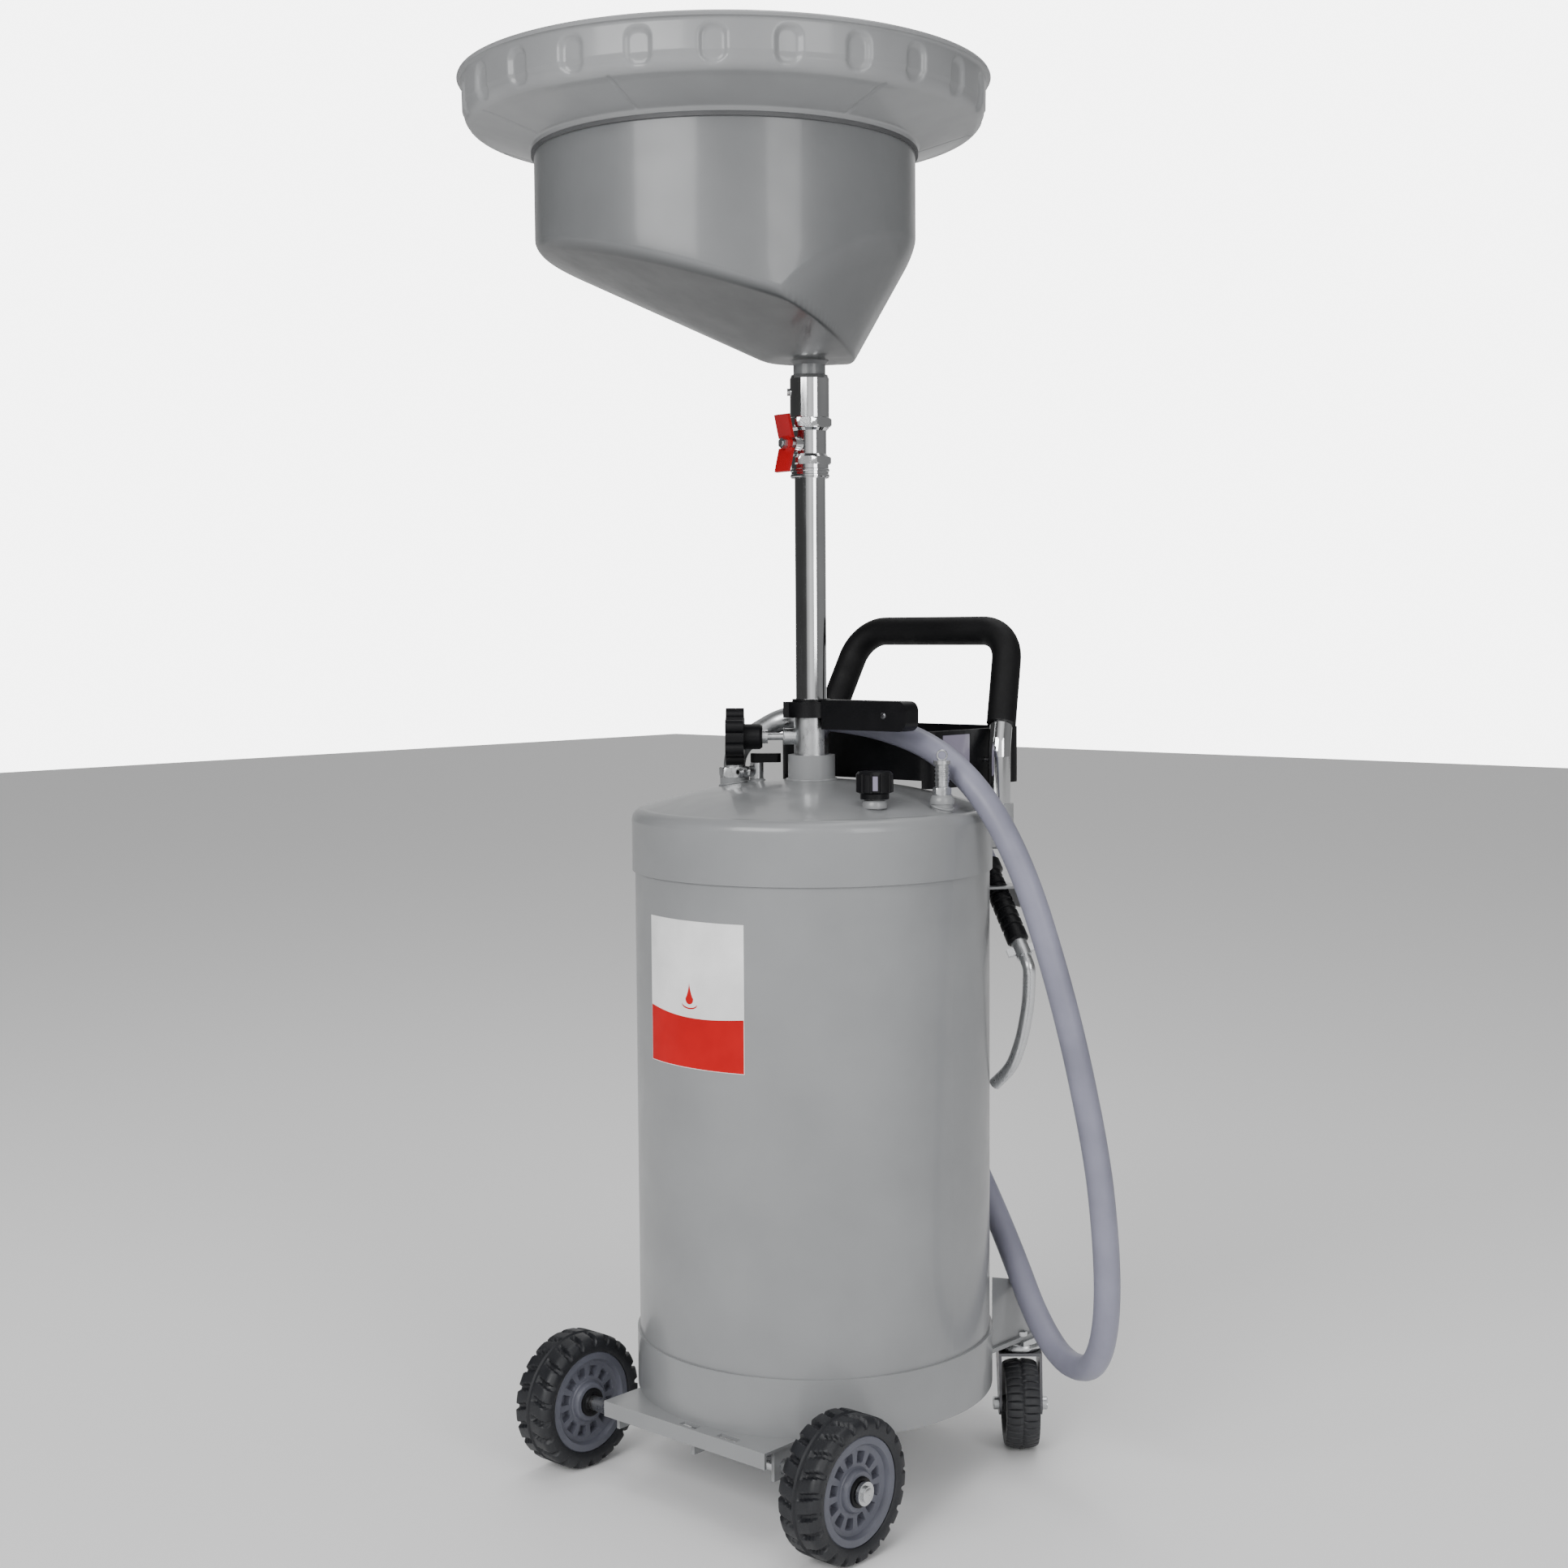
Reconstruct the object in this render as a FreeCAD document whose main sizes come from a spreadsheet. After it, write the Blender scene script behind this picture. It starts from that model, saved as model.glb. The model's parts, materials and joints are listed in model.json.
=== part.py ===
"""Mobile waste-oil drain pan: a wheeled tank with a telescopic mast, an eccentric funnel bowl,
a splash pan, a tool tray, a push handle and a discharge hose.

Millimetres, +Z up, the floor is Z = 0 and the origin is under the middle of the object.
Sub-parts are drawn about the tank's axis and shifted by frame_x and frame_y into that frame.
Front is -Y (large wheels), rear is +Y (castors and push handle).
"""
import FreeCAD, Part
import math
import os
import Sketcher
from FreeCAD import Placement, Rotation, Vector

doc = FreeCAD.newDocument("drain_pan")
sheet = doc.addObject("Spreadsheet::Sheet", "Dims")
sub_parts = []


# ------------------------------------------------------------------ sizes bound to the sheet
class Size:
    """A number together with the sheet expression that gives it."""

    def __init__(self, number, text):
        self.number = float(number)
        self.text = text

    def __add__(self, other):
        other = size(other)
        return Size(self.number + other.number, f"({self.text} + {other.text})")

    def __sub__(self, other):
        other = size(other)
        return Size(self.number - other.number, f"({self.text} - {other.text})")

    def __mul__(self, factor):
        factor = size(factor)
        return Size(self.number * factor.number, f"({self.text} * {factor.text})")

    def __truediv__(self, divisor):
        divisor = size(divisor)
        return Size(self.number / divisor.number, f"({self.text} / {divisor.text})")

    def __radd__(self, other):
        return size(other) + self

    def __rsub__(self, other):
        return size(other) - self

    def __rmul__(self, other):
        return size(other) * self

    def __neg__(self):
        return Size(-self.number, f"(-1 * {self.text})")


def size(value):
    return value if isinstance(value, Size) else Size(value, repr(float(value)))


def driving(name, number):
    """Adds a driving dimension to the sheet and returns it as a Size."""
    driving.row += 1
    cell = f"A{driving.row}"
    sheet.set(cell, str(number))
    sheet.setAlias(cell, name)
    return Size(number, f"Dims.{name}")


driving.row = 0

frame_x = driving("frame_x", 62.2)
frame_y = driving("frame_y", 52.8)

tank_radius = driving("tank_radius", 195)
tank_wall = driving("tank_wall", 2)
band_thick = driving("band_thick", 3)
tank_foot = driving("tank_foot", 97)
low_seam = driving("low_seam", 159)
top_seam = driving("top_seam", 670)
band_top = driving("band_top", 725)
shoulder_round = driving("shoulder_round", 13)
dome_top = driving("dome_top", 766)
dome_radius = driving("dome_radius", 640)
land_radius = driving("land_radius", 30)

mast_radius = driving("mast_radius", 16.85)
mast_wall = driving("mast_wall", 1.85)
fit_gap = driving("fit_gap", 0.05)
sleeve_radius = driving("sleeve_radius", 19)
sleeve_bore = driving("sleeve_bore", 17.5)
sleeve_foot = driving("sleeve_foot", 185)
sleeve_top = driving("sleeve_top", 852)
collar_radius = driving("collar_radius", 25.8)
collar_top = driving("collar_top", 794)
mast_foot = driving("mast_foot", 440)
knob_height = driving("knob_height", 814)

offset_angle = driving("offset_angle", 41.2)
bowl_offset = driving("bowl_offset", 89.6)
bowl_radius = driving("bowl_radius", 205)
bowl_wall = driving("bowl_wall", 2)
bowl_rim = driving("bowl_rim", 1437)
bowl_low_side = driving("bowl_low_side", 1338)
bowl_beside_mast = driving("bowl_beside_mast", 1256)
outlet_height = driving("outlet_height", 1221)
outlet_radius = driving("outlet_radius", 45)
nose_radius = driving("nose_radius", 260)
pan_radius = driving("pan_radius", 285.5)
pan_rim = driving("pan_rim", 1518)
pan_wall = driving("pan_wall", 2)

valve_height = driving("valve_height", 1131.5)
coupling_foot = driving("coupling_foot", 1095)
valve_foot = driving("valve_foot", 1110)
valve_top = driving("valve_top", 1160)
coupling_top = driving("coupling_top", 1206)

wheel_radius = driving("wheel_radius", 74)
wheel_width = driving("wheel_width", 51)
wheel_track = driving("wheel_track", 390)
wheel_setback = driving("wheel_setback", 181.6)
hub_radius = driving("hub_radius", 55.7)
axle_radius = driving("axle_radius", 8)

castor_side = driving("castor_side", 136)
castor_back = driving("castor_back", 199)
castor_radius = driving("castor_radius", 50)
castor_width = driving("castor_width", 38)
castor_trail = driving("castor_trail", 22)
castor_plate_top = driving("castor_plate_top", 118)

leg_side = driving("leg_side", 132)
leg_back = driving("leg_back", 167)
leg_radius = driving("leg_radius", 12.5)
handle_height = driving("handle_height", 928)
handle_lean = driving("handle_lean", 21.2)
handle_taper = driving("handle_taper", 10.4)
handle_bend = driving("handle_bend", 42.2)
lean_start = driving("lean_start", 797)
foam_radius = driving("foam_radius", 16.5)

tray_side = driving("tray_side", 113)
tray_front = driving("tray_front", 67)
tray_back = driving("tray_back", 239)
tray_floor = driving("tray_floor", 765)
tray_foot = driving("tray_foot", 756)
tray_top = driving("tray_top", 819)

socket_foot = driving("socket_foot", 686)
foam_foot = driving("foam_foot", 824)
screw_height = driving("screw_height", 784)
label_foot = driving("label_foot", 475)
label_height = driving("label_height", 155)
pipe_radius = driving("pipe_radius", 12.5)
pipe_x = driving("pipe_x", -105)
pipe_y = driving("pipe_y", -12)
hose_diameter = driving("hose_diameter", 28)
grip_length = driving("grip_length", 106)
grip_radius = driving("grip_radius", 12.5)
spout_radius = driving("spout_radius", 7.2)

UP = Vector(0, 0, 1)
# unit vectors of the direction in which the bowl is offset from the mast, seen from above
side_angle = math.radians(offset_angle.number)
ACROSS = Vector(math.cos(side_angle), math.sin(side_angle), 0)
BEYOND = Vector(-math.sin(side_angle), math.cos(side_angle), 0)


# ------------------------------------------------------------------ building blocks
def bind(item, name, value):
    item.setExpression(name, size(value).text)


def place(item, at=(0, 0, 0), turn=None):
    """Puts an object at a point whose coordinates are bound to the sheet."""
    if turn is not None:
        item.Placement = Placement(Vector(0, 0, 0), turn)
    for axis, value in zip("xyz", at):
        bind(item, f"Placement.Base.{axis}", value)


def keep(item, label, at=(0, 0, 0), turn=None):
    """Names a finished sub-part and shifts it from the tank's axis into the object's frame."""
    item.Label = label
    place(item, (size(at[0]) + frame_x, size(at[1]) + frame_y, size(at[2])), turn)
    sub_parts.append(item)
    return item


def facing(direction):
    """The rotation that turns +Z into the given direction."""
    return Rotation(UP, Vector(direction))


def cylinder(radius, height, at=(0, 0, 0), turn=None):
    item = doc.addObject("Part::Cylinder", "rod")
    bind(item, "Radius", radius)
    bind(item, "Height", height)
    place(item, at, turn)
    return item


def box(length, width, height, at=(0, 0, 0), turn=None):
    item = doc.addObject("Part::Box", "block")
    bind(item, "Length", length)
    bind(item, "Width", width)
    bind(item, "Height", height)
    place(item, at, turn)
    return item


def ball(radius, at=(0, 0, 0)):
    item = doc.addObject("Part::Sphere", "ball")
    bind(item, "Radius", radius)
    place(item, at)
    return item


def fuse(*items):
    item = doc.addObject("Part::MultiFuse", "union")
    item.Shapes = list(items)
    return item


def common(*items):
    item = doc.addObject("Part::MultiCommon", "overlap")
    item.Shapes = list(items)
    return item


def cut(base, *tools):
    item = doc.addObject("Part::Cut", "difference")
    item.Base = base
    item.Tool = tools[0] if len(tools) == 1 else fuse(*tools)
    return item


def group(*items):
    """Several separate solids kept as one sub-part."""
    item = doc.addObject("Part::Compound", "set")
    item.Links = list(items)
    return item


def rounded(item, radius, test):
    """Rounds the edges of a primitive that pass the test."""
    doc.recompute()
    chosen = [(n + 1, radius.number, radius.number) for n, edge in enumerate(item.Shape.Edges) if test(edge)]
    result = doc.addObject("Part::Fillet", "rounded")
    result.Base = item
    result.Edges = chosen
    return result


def upright(edge):
    """True for an edge that runs along Z."""
    return edge.BoundBox.ZLength > 1 and edge.BoundBox.XLength + edge.BoundBox.YLength < 0.01


def origin_feature(body, role):
    return next(item for item in body.Origin.OriginFeatures if item.Role == role)


def arc_geometry(start, end, radius):
    """A sketch arc from start to end; a positive radius turns left on the way, a negative one right."""
    half = (end - start) * 0.5
    reach = math.sqrt(max(radius * radius - half.Length ** 2, 0))
    left = Vector(-half.y, half.x, 0).normalize()
    centre = start + half + left * (reach if radius > 0 else -reach)
    first, last = (start, end) if radius > 0 else (end, start)
    angles = [math.atan2(p.y - centre.y, p.x - centre.x) for p in (first, last)]
    return Part.ArcOfCircle(Part.Circle(centre, UP, abs(radius)), angles[0], angles[1])


def outline(body, role, points):
    """A closed sketch through points (x, y) or (x, y, radius of the arc to the next point)."""
    sketch = body.newObject("Sketcher::SketchObject", "outline")
    sketch.AttachmentSupport = [(origin_feature(body, role), "")]
    sketch.MapMode = "FlatFace"
    corners = [[size(value) for value in point] for point in points]
    spots = [Vector(corner[0].number, corner[1].number, 0) for corner in corners]
    ends = []
    for n, corner in enumerate(corners):
        start, end = spots[n], spots[(n + 1) % len(spots)]
        if len(corner) == 3:
            sketch.addGeometry(arc_geometry(start, end, corner[2].number), False)
            ends.append((1, 2) if corner[2].number > 0 else (2, 1))
        else:
            sketch.addGeometry(Part.LineSegment(start, end), False)
            ends.append((1, 2))
    for n in range(len(corners)):
        following = (n + 1) % len(corners)
        sketch.addConstraint(Sketcher.Constraint("Coincident", n, ends[n][1], following, ends[following][0]))
    for n, corner in enumerate(corners):
        for kind, value, axis in (("DistanceX", corner[0], -2), ("DistanceY", corner[1], -1)):
            if value.number == 0:
                sketch.addConstraint(Sketcher.Constraint("PointOnObject", n, ends[n][0], axis))
                continue
            index = sketch.addConstraint(Sketcher.Constraint(kind, -1, 1, n, ends[n][0], value.number))
            sketch.setExpression(f"Constraints[{index}]", value.text)
        if len(corner) == 3:
            radius = corner[2] if corner[2].number > 0 else -corner[2]
            index = sketch.addConstraint(Sketcher.Constraint("Radius", n, radius.number))
            sketch.setExpression(f"Constraints[{index}]", radius.text)
    return sketch


def turned(points):
    """A body turned about its own Z axis from an outline of (radius, height) points."""
    body = doc.addObject("PartDesign::Body", "turned")
    sketch = outline(body, "XZ_Plane", points)
    revolution = body.newObject("PartDesign::Revolution", "turning")
    revolution.Profile = sketch
    revolution.ReferenceAxis = (sketch, ["V_Axis"])
    revolution.Angle = 360
    body.Tip = revolution
    return body


def plate(points, thickness):
    """A body padded up Z from an outline of (x, y) points."""
    body = doc.addObject("PartDesign::Body", "plate")
    sketch = outline(body, "XY_Plane", points)
    pad = body.newObject("PartDesign::Pad", "thickness")
    pad.Profile = sketch
    bind(pad, "Length", thickness)
    body.Tip = pad
    return body


def tube_ring(inner, outer, low, high):
    """A plain ring turned about Z."""
    return turned([(inner, low), (outer, low), (outer, high), (inner, high)])


def rounded_path(points, radii=None):
    """Straight runs joined by tangent arcs, as one wire, with the arc radii that it used."""
    spots = [Vector(*point) for point in points]
    edges = []
    used = []
    start = spots[0]
    for n in range(1, len(spots) - 1):
        before = (spots[n] - spots[n - 1])
        after = (spots[n + 1] - spots[n])
        turn = before.getAngle(after)
        shorter = min(before.Length, after.Length)
        radius = 0.45 * shorter / math.tan(turn / 2)
        if radii is not None:
            radius = min(radii[n - 1], radius)
        reach = radius * math.tan(turn / 2)
        before.normalize()
        after.normalize()
        first = spots[n] - before * reach
        last = spots[n] + after * reach
        inward = (after - before).normalize()
        centre = spots[n] + inward * (radius / math.cos(turn / 2))
        middle = centre - inward * radius
        edges.append(Part.LineSegment(start, first).toShape())
        edges.append(Part.Arc(first, middle, last).toShape())
        start = last
        used.append(radius)
    edges.append(Part.LineSegment(start, spots[-1]).toShape())
    return Part.Wire(edges), used


def swept(wire, radius, bore=0.0):
    """A round tube or bar along a wire."""
    start = wire.Edges[0].Vertexes[0].Point
    along = wire.Edges[0].tangentAt(wire.Edges[0].FirstParameter)
    ring = Part.Wire(Part.makeCircle(radius, start, along))
    solid = wire.makePipeShell([ring], True, False)
    if bore:
        inner = Part.Wire(Part.makeCircle(bore, start, along))
        solid = solid.cut(wire.makePipeShell([inner], True, False))
    return solid


def feature(shape, name="shape"):
    item = doc.addObject("Part::Feature", name)
    item.Shape = shape
    return item


def across(side, depth, height=0):
    """A point given along ACROSS and BEYOND instead of X and Y, bound to the sheet."""
    side, depth = size(side), size(depth)
    x = side * Size(ACROSS.x, "cos(Dims.offset_angle)") - depth * Size(ACROSS.y, "sin(Dims.offset_angle)")
    y = side * Size(ACROSS.y, "sin(Dims.offset_angle)") + depth * Size(ACROSS.x, "cos(Dims.offset_angle)")
    return (x, y, size(height))


ALONG_X = Rotation(Vector(0, 1, 0), 90)
TO_LEFT = Rotation(UP, BEYOND, -ACROSS, "ZXY")
ACROSS_TURN = Rotation(UP, offset_angle.number)
VALVE_TURN = Rotation(UP, 40)
TO_VALVE_HANDLE = VALVE_TURN * TO_LEFT


# ------------------------------------------------------------------ tank
def tank():
    band_radius = tank_radius + band_thick
    inner = tank_radius - tank_wall
    floor_low = tank_foot + 13
    floor_high = floor_low + band_thick
    keep(tube_ring(inner, tank_radius, floor_high, top_seam + 12), "tank_wall")

    chime = band_radius - 6
    keep(turned([(0, floor_low), (chime, floor_low), (chime, tank_foot), (band_radius, tank_foot),
                 (band_radius, low_seam), (tank_radius, low_seam), (tank_radius, floor_high),
                 (0, floor_high)]), "tank_bottom")

    edge = band_radius - shoulder_round
    rise = band_top + shoulder_round
    dome = turned([(tank_radius, top_seam), (band_radius, top_seam), (band_radius, band_top, shoulder_round),
                   (edge, rise, dome_radius), (land_radius, dome_top), (sleeve_radius + fit_gap, dome_top),
                   (sleeve_radius + fit_gap, dome_top - band_thick),
                   (land_radius, dome_top - band_thick, -dome_radius), (edge, rise - band_thick),
                   (tank_radius, band_top - 6)])
    pipe_hole = cylinder(pipe_radius + fit_gap, 60, (pipe_x, pipe_y, top_seam + 40))
    keep(cut(dome, pipe_hole), "tank_top")

    label = cut(cylinder(tank_radius + 0.6, label_height, (0, 0, label_foot)),
                cylinder(tank_radius, label_height, (0, 0, label_foot)))
    label.Base.Angle = 40
    label.Tool.Angle = 40
    keep(label, "label_plate", turn=Rotation(UP, -110))


# ------------------------------------------------------------------ mast and clamp on the tank
def mast_socket():
    keep(tube_ring(sleeve_radius + fit_gap, collar_radius, dome_top, collar_top), "mast_collar")

    boss = cylinder(9, 14, across(-17, 0, knob_height), TO_LEFT)
    barrel = cylinder(sleeve_bore, sleeve_top - sleeve_foot + 20, (0, 0, sleeve_foot - 10))
    tube = cylinder(sleeve_radius, sleeve_top - sleeve_foot, (0, 0, sleeve_foot))
    stud_hole = cylinder(4 + fit_gap, 40, across(0, 0, knob_height), TO_LEFT)
    keep(cut(fuse(tube, boss), barrel, stud_hole), "mast_sleeve")

    bore = mast_radius + fit_gap
    flange = sleeve_radius + 2
    keep(turned([(bore, sleeve_top - 30), (sleeve_bore, sleeve_top - 30), (sleeve_bore, sleeve_top),
                 (flange, sleeve_top), (flange, sleeve_top + 3), (bore, sleeve_top + 3)]), "guide_bush")

    ring_low = sleeve_top - 17
    lug = box(16, 16, 17, across(-31, -8, ring_low), ACROSS_TURN)
    ring = fuse(cylinder(collar_radius, 17, (0, 0, ring_low)), lug)
    keep(cut(ring, cylinder(sleeve_radius, 40, (0, 0, ring_low - 5))), "head_collar")

    grip = rounded(box(117, 22, 32, (0, -11, -12.4)), size(10),
                   lambda edge: edge.BoundBox.YLength > 20 and edge.BoundBox.XMin > 90)
    recess = cylinder(collar_radius, 60, (-24, 0, -30))
    keep(cut(grip, recess), "mast_grip", (24, 0, ring_low))


def clamp_knob():
    keep(turned([(0, sleeve_bore - 0.1), (4, sleeve_bore - 0.1), (4, 48), (7.5, 48), (7.5, 54), (0, 54)]),
         "knob_stud", (0, 0, knob_height), TO_LEFT)
    hub = turned([(0, 54), (12, 54), (14, 57), (14, 74), (0, 74)])
    disc = cylinder(24, 20, (0, 0, 74))
    lobes = [cylinder(7.5, 20, (24 * math.cos(k * math.pi / 3), 24 * math.sin(k * math.pi / 3), 74))
             for k in range(6)]
    keep(fuse(hub, disc, *lobes), "star_knob", (0, 0, knob_height), TO_LEFT)


# ------------------------------------------------------------------ telescopic mast and drain valve
def mast():
    inner = mast_radius - mast_wall
    keep(tube_ring(inner, mast_radius, mast_foot, valve_foot), "mast_tube")
    keep(tube_ring(mast_radius, sleeve_bore - fit_gap, mast_foot, mast_foot + 20), "mast_guide")
    keep(tube_ring(mast_radius, 20.5, coupling_foot, valve_foot), "lower_coupling")

    seat = 15.35
    spigot = 16 - fit_gap
    body = turned([(inner, valve_foot), (20.5, valve_foot), (20.5, valve_foot + 8), (18.2, valve_foot + 11),
                   (18.2, valve_top - 14), (21, valve_top - 11), (21, valve_top), (spigot, valve_top),
                   (spigot, coupling_top - 8), (13.5, coupling_top - 8), (13.5, valve_top - 3),
                   (12, valve_top - 3), (12, valve_foot + 3), (inner, valve_foot + 3)])
    gland = cylinder(9, 26, (0, 0, valve_height), TO_VALVE_HANDLE)
    pocket = ball(seat, (0, 0, valve_height))
    stem_hole = cylinder(5 + fit_gap, 40, (0, 0, valve_height), TO_VALVE_HANDLE)
    neck = cut(gland, cylinder(13, 60, (0, 0, valve_height - 30)))
    keep(cut(fuse(body, neck), pocket, stem_hole), "valve_body")


def drain_valve_handle():
    at = (0, 0, valve_height)
    bore = cylinder(10, 40, (0, 0, valve_height - 20))
    inner_end = TO_VALVE_HANDLE.multVec(UP) * 11
    slot = cylinder(5, 10, (inner_end.x, inner_end.y, valve_height), TO_VALVE_HANDLE)
    keep(cut(ball(15, at), bore, slot), "valve_ball")
    keep(turned([(0, 11), (5, 11), (5, 31), (3, 31), (3, 41), (0, 41)]), "valve_stem", at, TO_VALVE_HANDLE)
    flare = Rotation(Vector(0, 1, 0), -14)
    wings = [box(26, 23, 3.5, (6, -11.5, 31), flare),
             box(26, 23, 3.5, (-6, 11.5, 31), Rotation(UP, 180) * flare)]
    keep(cut(fuse(cylinder(9, 4, (0, 0, 31)), *wings), cylinder(3, 30, (0, 0, 20)),
             cylinder(5, 11, (0, 0, 20))), "butterfly_handle", at, TO_VALVE_HANDLE)
    nut = doc.addObject("Part::Prism", "hexagon")
    bind(nut, "Circumradius", 6)
    bind(nut, "Height", 5)
    place(nut, (0, 0, 35))
    keep(cut(nut, cylinder(3, 20, (0, 0, 30))), "handle_nut", at, TO_VALVE_HANDLE)


# ------------------------------------------------------------------ funnel
def space_over_belly(lift):
    """All that lies above the bowl's sloping floor, which is ruled from the outlet to a tilted ring."""
    ring_radius, height = 330, 400
    reach = ring_radius - outlet_radius.number
    to_low_side = (bowl_offset + bowl_radius - outlet_radius).number
    beside_mast = math.sqrt(bowl_radius.number ** 2 - bowl_offset.number ** 2) - outlet_radius.number
    low_slope = (bowl_low_side - outlet_height).number / to_low_side
    side_slope = (bowl_beside_mast - outlet_height).number / beside_mast
    middle = outlet_height.number + side_slope * reach + lift
    tilt = (low_slope - side_slope) * reach
    ring = Part.Ellipse(Vector(ring_radius, 0, middle - tilt), Vector(0, ring_radius, middle),
                        Vector(0, 0, middle))
    tilted = Part.Wire(ring.toShape())
    raised = tilted.copy()
    raised.translate(UP * height)
    outlet = Part.Wire(Part.makeCircle(outlet_radius.number, UP * (outlet_height.number + lift)))
    space = Part.makeLoft([outlet, tilted, raised], True, True)
    space.rotate(Vector(), UP, offset_angle.number)
    return feature(space)


def bowl_volume(inset, top):
    """The bowl's outside, or its inside when inset by the wall."""
    round_wall = cylinder(bowl_radius - inset, 300, across(-bowl_offset, 0, outlet_height - 20))
    belly = space_over_belly(inset.number)
    taper = math.degrees(math.atan2((bowl_low_side - outlet_height).number,
                                    (bowl_radius - bowl_offset - outlet_radius).number))
    up_taper = Rotation(BEYOND, -taper).multVec(ACROSS)
    inward = Rotation(BEYOND, -taper).multVec(UP)
    foot = ACROSS * outlet_radius.number + UP * outlet_height.number + inward * nose_radius.number
    nose = cylinder(nose_radius - inset, 900, tuple(foot - up_taper * 300), facing(up_taper))
    slab = box(900, 900, top - outlet_height - inset, (-450, -450, outlet_height + inset))
    return common(round_wall, belly, nose, slab)


def funnel():
    bowl = cut(bowl_volume(size(0), bowl_rim), bowl_volume(bowl_wall, bowl_rim + 40),
               cylinder(15, 60, (0, 0, outlet_height - 30)))
    keep(bowl, "funnel_bowl")

    centre = across(-bowl_offset, 0)
    neck = bowl_radius - bowl_wall
    keep(tube_ring(neck, bowl_radius + 3, bowl_rim, bowl_rim + 4), "neck_seal", centre)
    lip = pan_radius
    wall_foot = bowl_rim + 42
    inner = lip - 5.5 - pan_wall
    keep(turned([(neck - pan_wall, bowl_rim - 16), (neck, bowl_rim - 16), (neck, bowl_rim + 4),
                 (neck + 4.5, bowl_rim + 4), (neck + 4.5, bowl_rim + 9), (lip - 20.5, bowl_rim + 28, 17.5),
                 (lip - 5.5, wall_foot), (lip - 5, pan_rim - 5), (lip, pan_rim - 5), (lip, pan_rim),
                 (inner, pan_rim), (inner, wall_foot, -15.5), (lip - 20.5, bowl_rim + 28 + pan_wall),
                 (neck - pan_wall, bowl_rim + 9)]), "splash_pan", centre)

    bore = 15
    keep(turned([(bore, coupling_top), (17.5, coupling_top), (17.5, outlet_height - 4),
                 (21, outlet_height), (bore, outlet_height)]), "outlet_stub")
    coupling = turned([(16, valve_top + 0.4), (21.4, valve_top + 0.4), (21.4, coupling_top - 4),
                       (20, coupling_top), (16, coupling_top)])
    pin_hole = cylinder(2.5, 30, across(0, 0, coupling_top - 18), TO_LEFT)
    keep(cut(coupling, pin_hole), "swivel_coupling")
    pin = fuse(cylinder(2.5, 5.2, (0, 0, 16.2)), cylinder(4, 3, (0, 0, 21.4)))
    keep(pin, "swivel_screw", (0, 0, coupling_top - 18), TO_LEFT)

    disc = cylinder(40, 1.5, (0, 0, outlet_height + bowl_wall))
    holes = [cylinder(2.5, 10, (r * math.cos(k * 2 * math.pi / n), r * math.sin(k * 2 * math.pi / n),
                                outlet_height))
             for r, n in ((8, 6), (17, 12), (26, 18)) for k in range(n)]
    keep(cut(disc, *holes), "strainer")


# ------------------------------------------------------------------ fittings on the tank's top
hose_start = (-24, 39, 832)
cap_spot = (141, -62)
relief_spot = (174, 9)
air_spot = (-71, -12)


def discharge_pipe():
    foot = (pipe_x.number, pipe_y.number, 752)
    wire, _ = rounded_path([foot, (pipe_x.number, pipe_y.number, 800), (-70, 36, 833.2), hose_start],
                           [40, 60])
    keep(feature(swept(wire, pipe_radius.number, pipe_radius.number - 2)), "discharge_pipe")
    keep(tube_ring(9, pipe_radius - 2.1, tank_foot + 28, 765), "dip_tube", (pipe_x, pipe_y, 0))


def dome_volume():
    """The solid space under the tank's domed top, for trimming what stands on it."""
    band_radius = tank_radius + band_thick
    return turned([(0, top_seam), (band_radius, top_seam), (band_radius, band_top, shoulder_round),
                   (band_radius - shoulder_round, band_top + shoulder_round, dome_radius),
                   (land_radius, dome_top), (0, dome_top)])


def boss_on_dome(radius, low, high, at):
    return cut(cylinder(radius, high - low, (at[0], at[1], low)), dome_volume())


def top_fittings():
    pipe_boss = cut(boss_on_dome(16.5, 752, 766, (pipe_x, pipe_y)),
                    cylinder(pipe_radius + fit_gap, 40, (pipe_x, pipe_y, 740)))
    bosses = [pipe_boss, boss_on_dome(9, 740, 755, cap_spot), boss_on_dome(11, 735, 757, relief_spot),
              boss_on_dome(8, 752, 766, air_spot)]
    keep(group(*bosses), "tank_bosses")

    skirt = turned([(0, 755.5), (15, 755.5), (15, 761), (19.5, 763), (19.5, 781), (17, 784), (0, 784)])
    notches = [cylinder(2.2, 40, (20.5 * math.cos(k * math.pi / 6), 20.5 * math.sin(k * math.pi / 6), 750))
               for k in range(12)]
    keep(cut(skirt, *notches), "pressure_cap", (cap_spot[0], cap_spot[1], 0))

    keep(turned([(0, 757), (8.5, 757), (8.5, 765), (7, 766), (7, 788), (9, 789), (9, 793), (0, 794)]),
         "relief_valve", (relief_spot[0], relief_spot[1], 0))

    body = turned([(0, 766), (7.5, 766), (7.5, 783), (0, 783)])
    nipple = turned([(2.5, 0), (4.5, 0), (4.5, 2.5), (6, 2.5), (6, 10.5), (4, 11.5), (4, 16), (5.2, 17),
                     (5.2, 20), (3.6, 24), (2.5, 24)])
    place(body, (air_spot[0], air_spot[1], 0))
    place(nipple, (air_spot[0], air_spot[1] - 7, 774), facing(Vector(0, -1, 0)))
    keep(fuse(body, nipple), "air_valve")
    lever = rounded(box(34, 12, 10, (-7, -6, 783.4)), size(5), upright)
    keep(lever, "air_lever", (air_spot[0], air_spot[1], 0), ACROSS_TURN)


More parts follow.
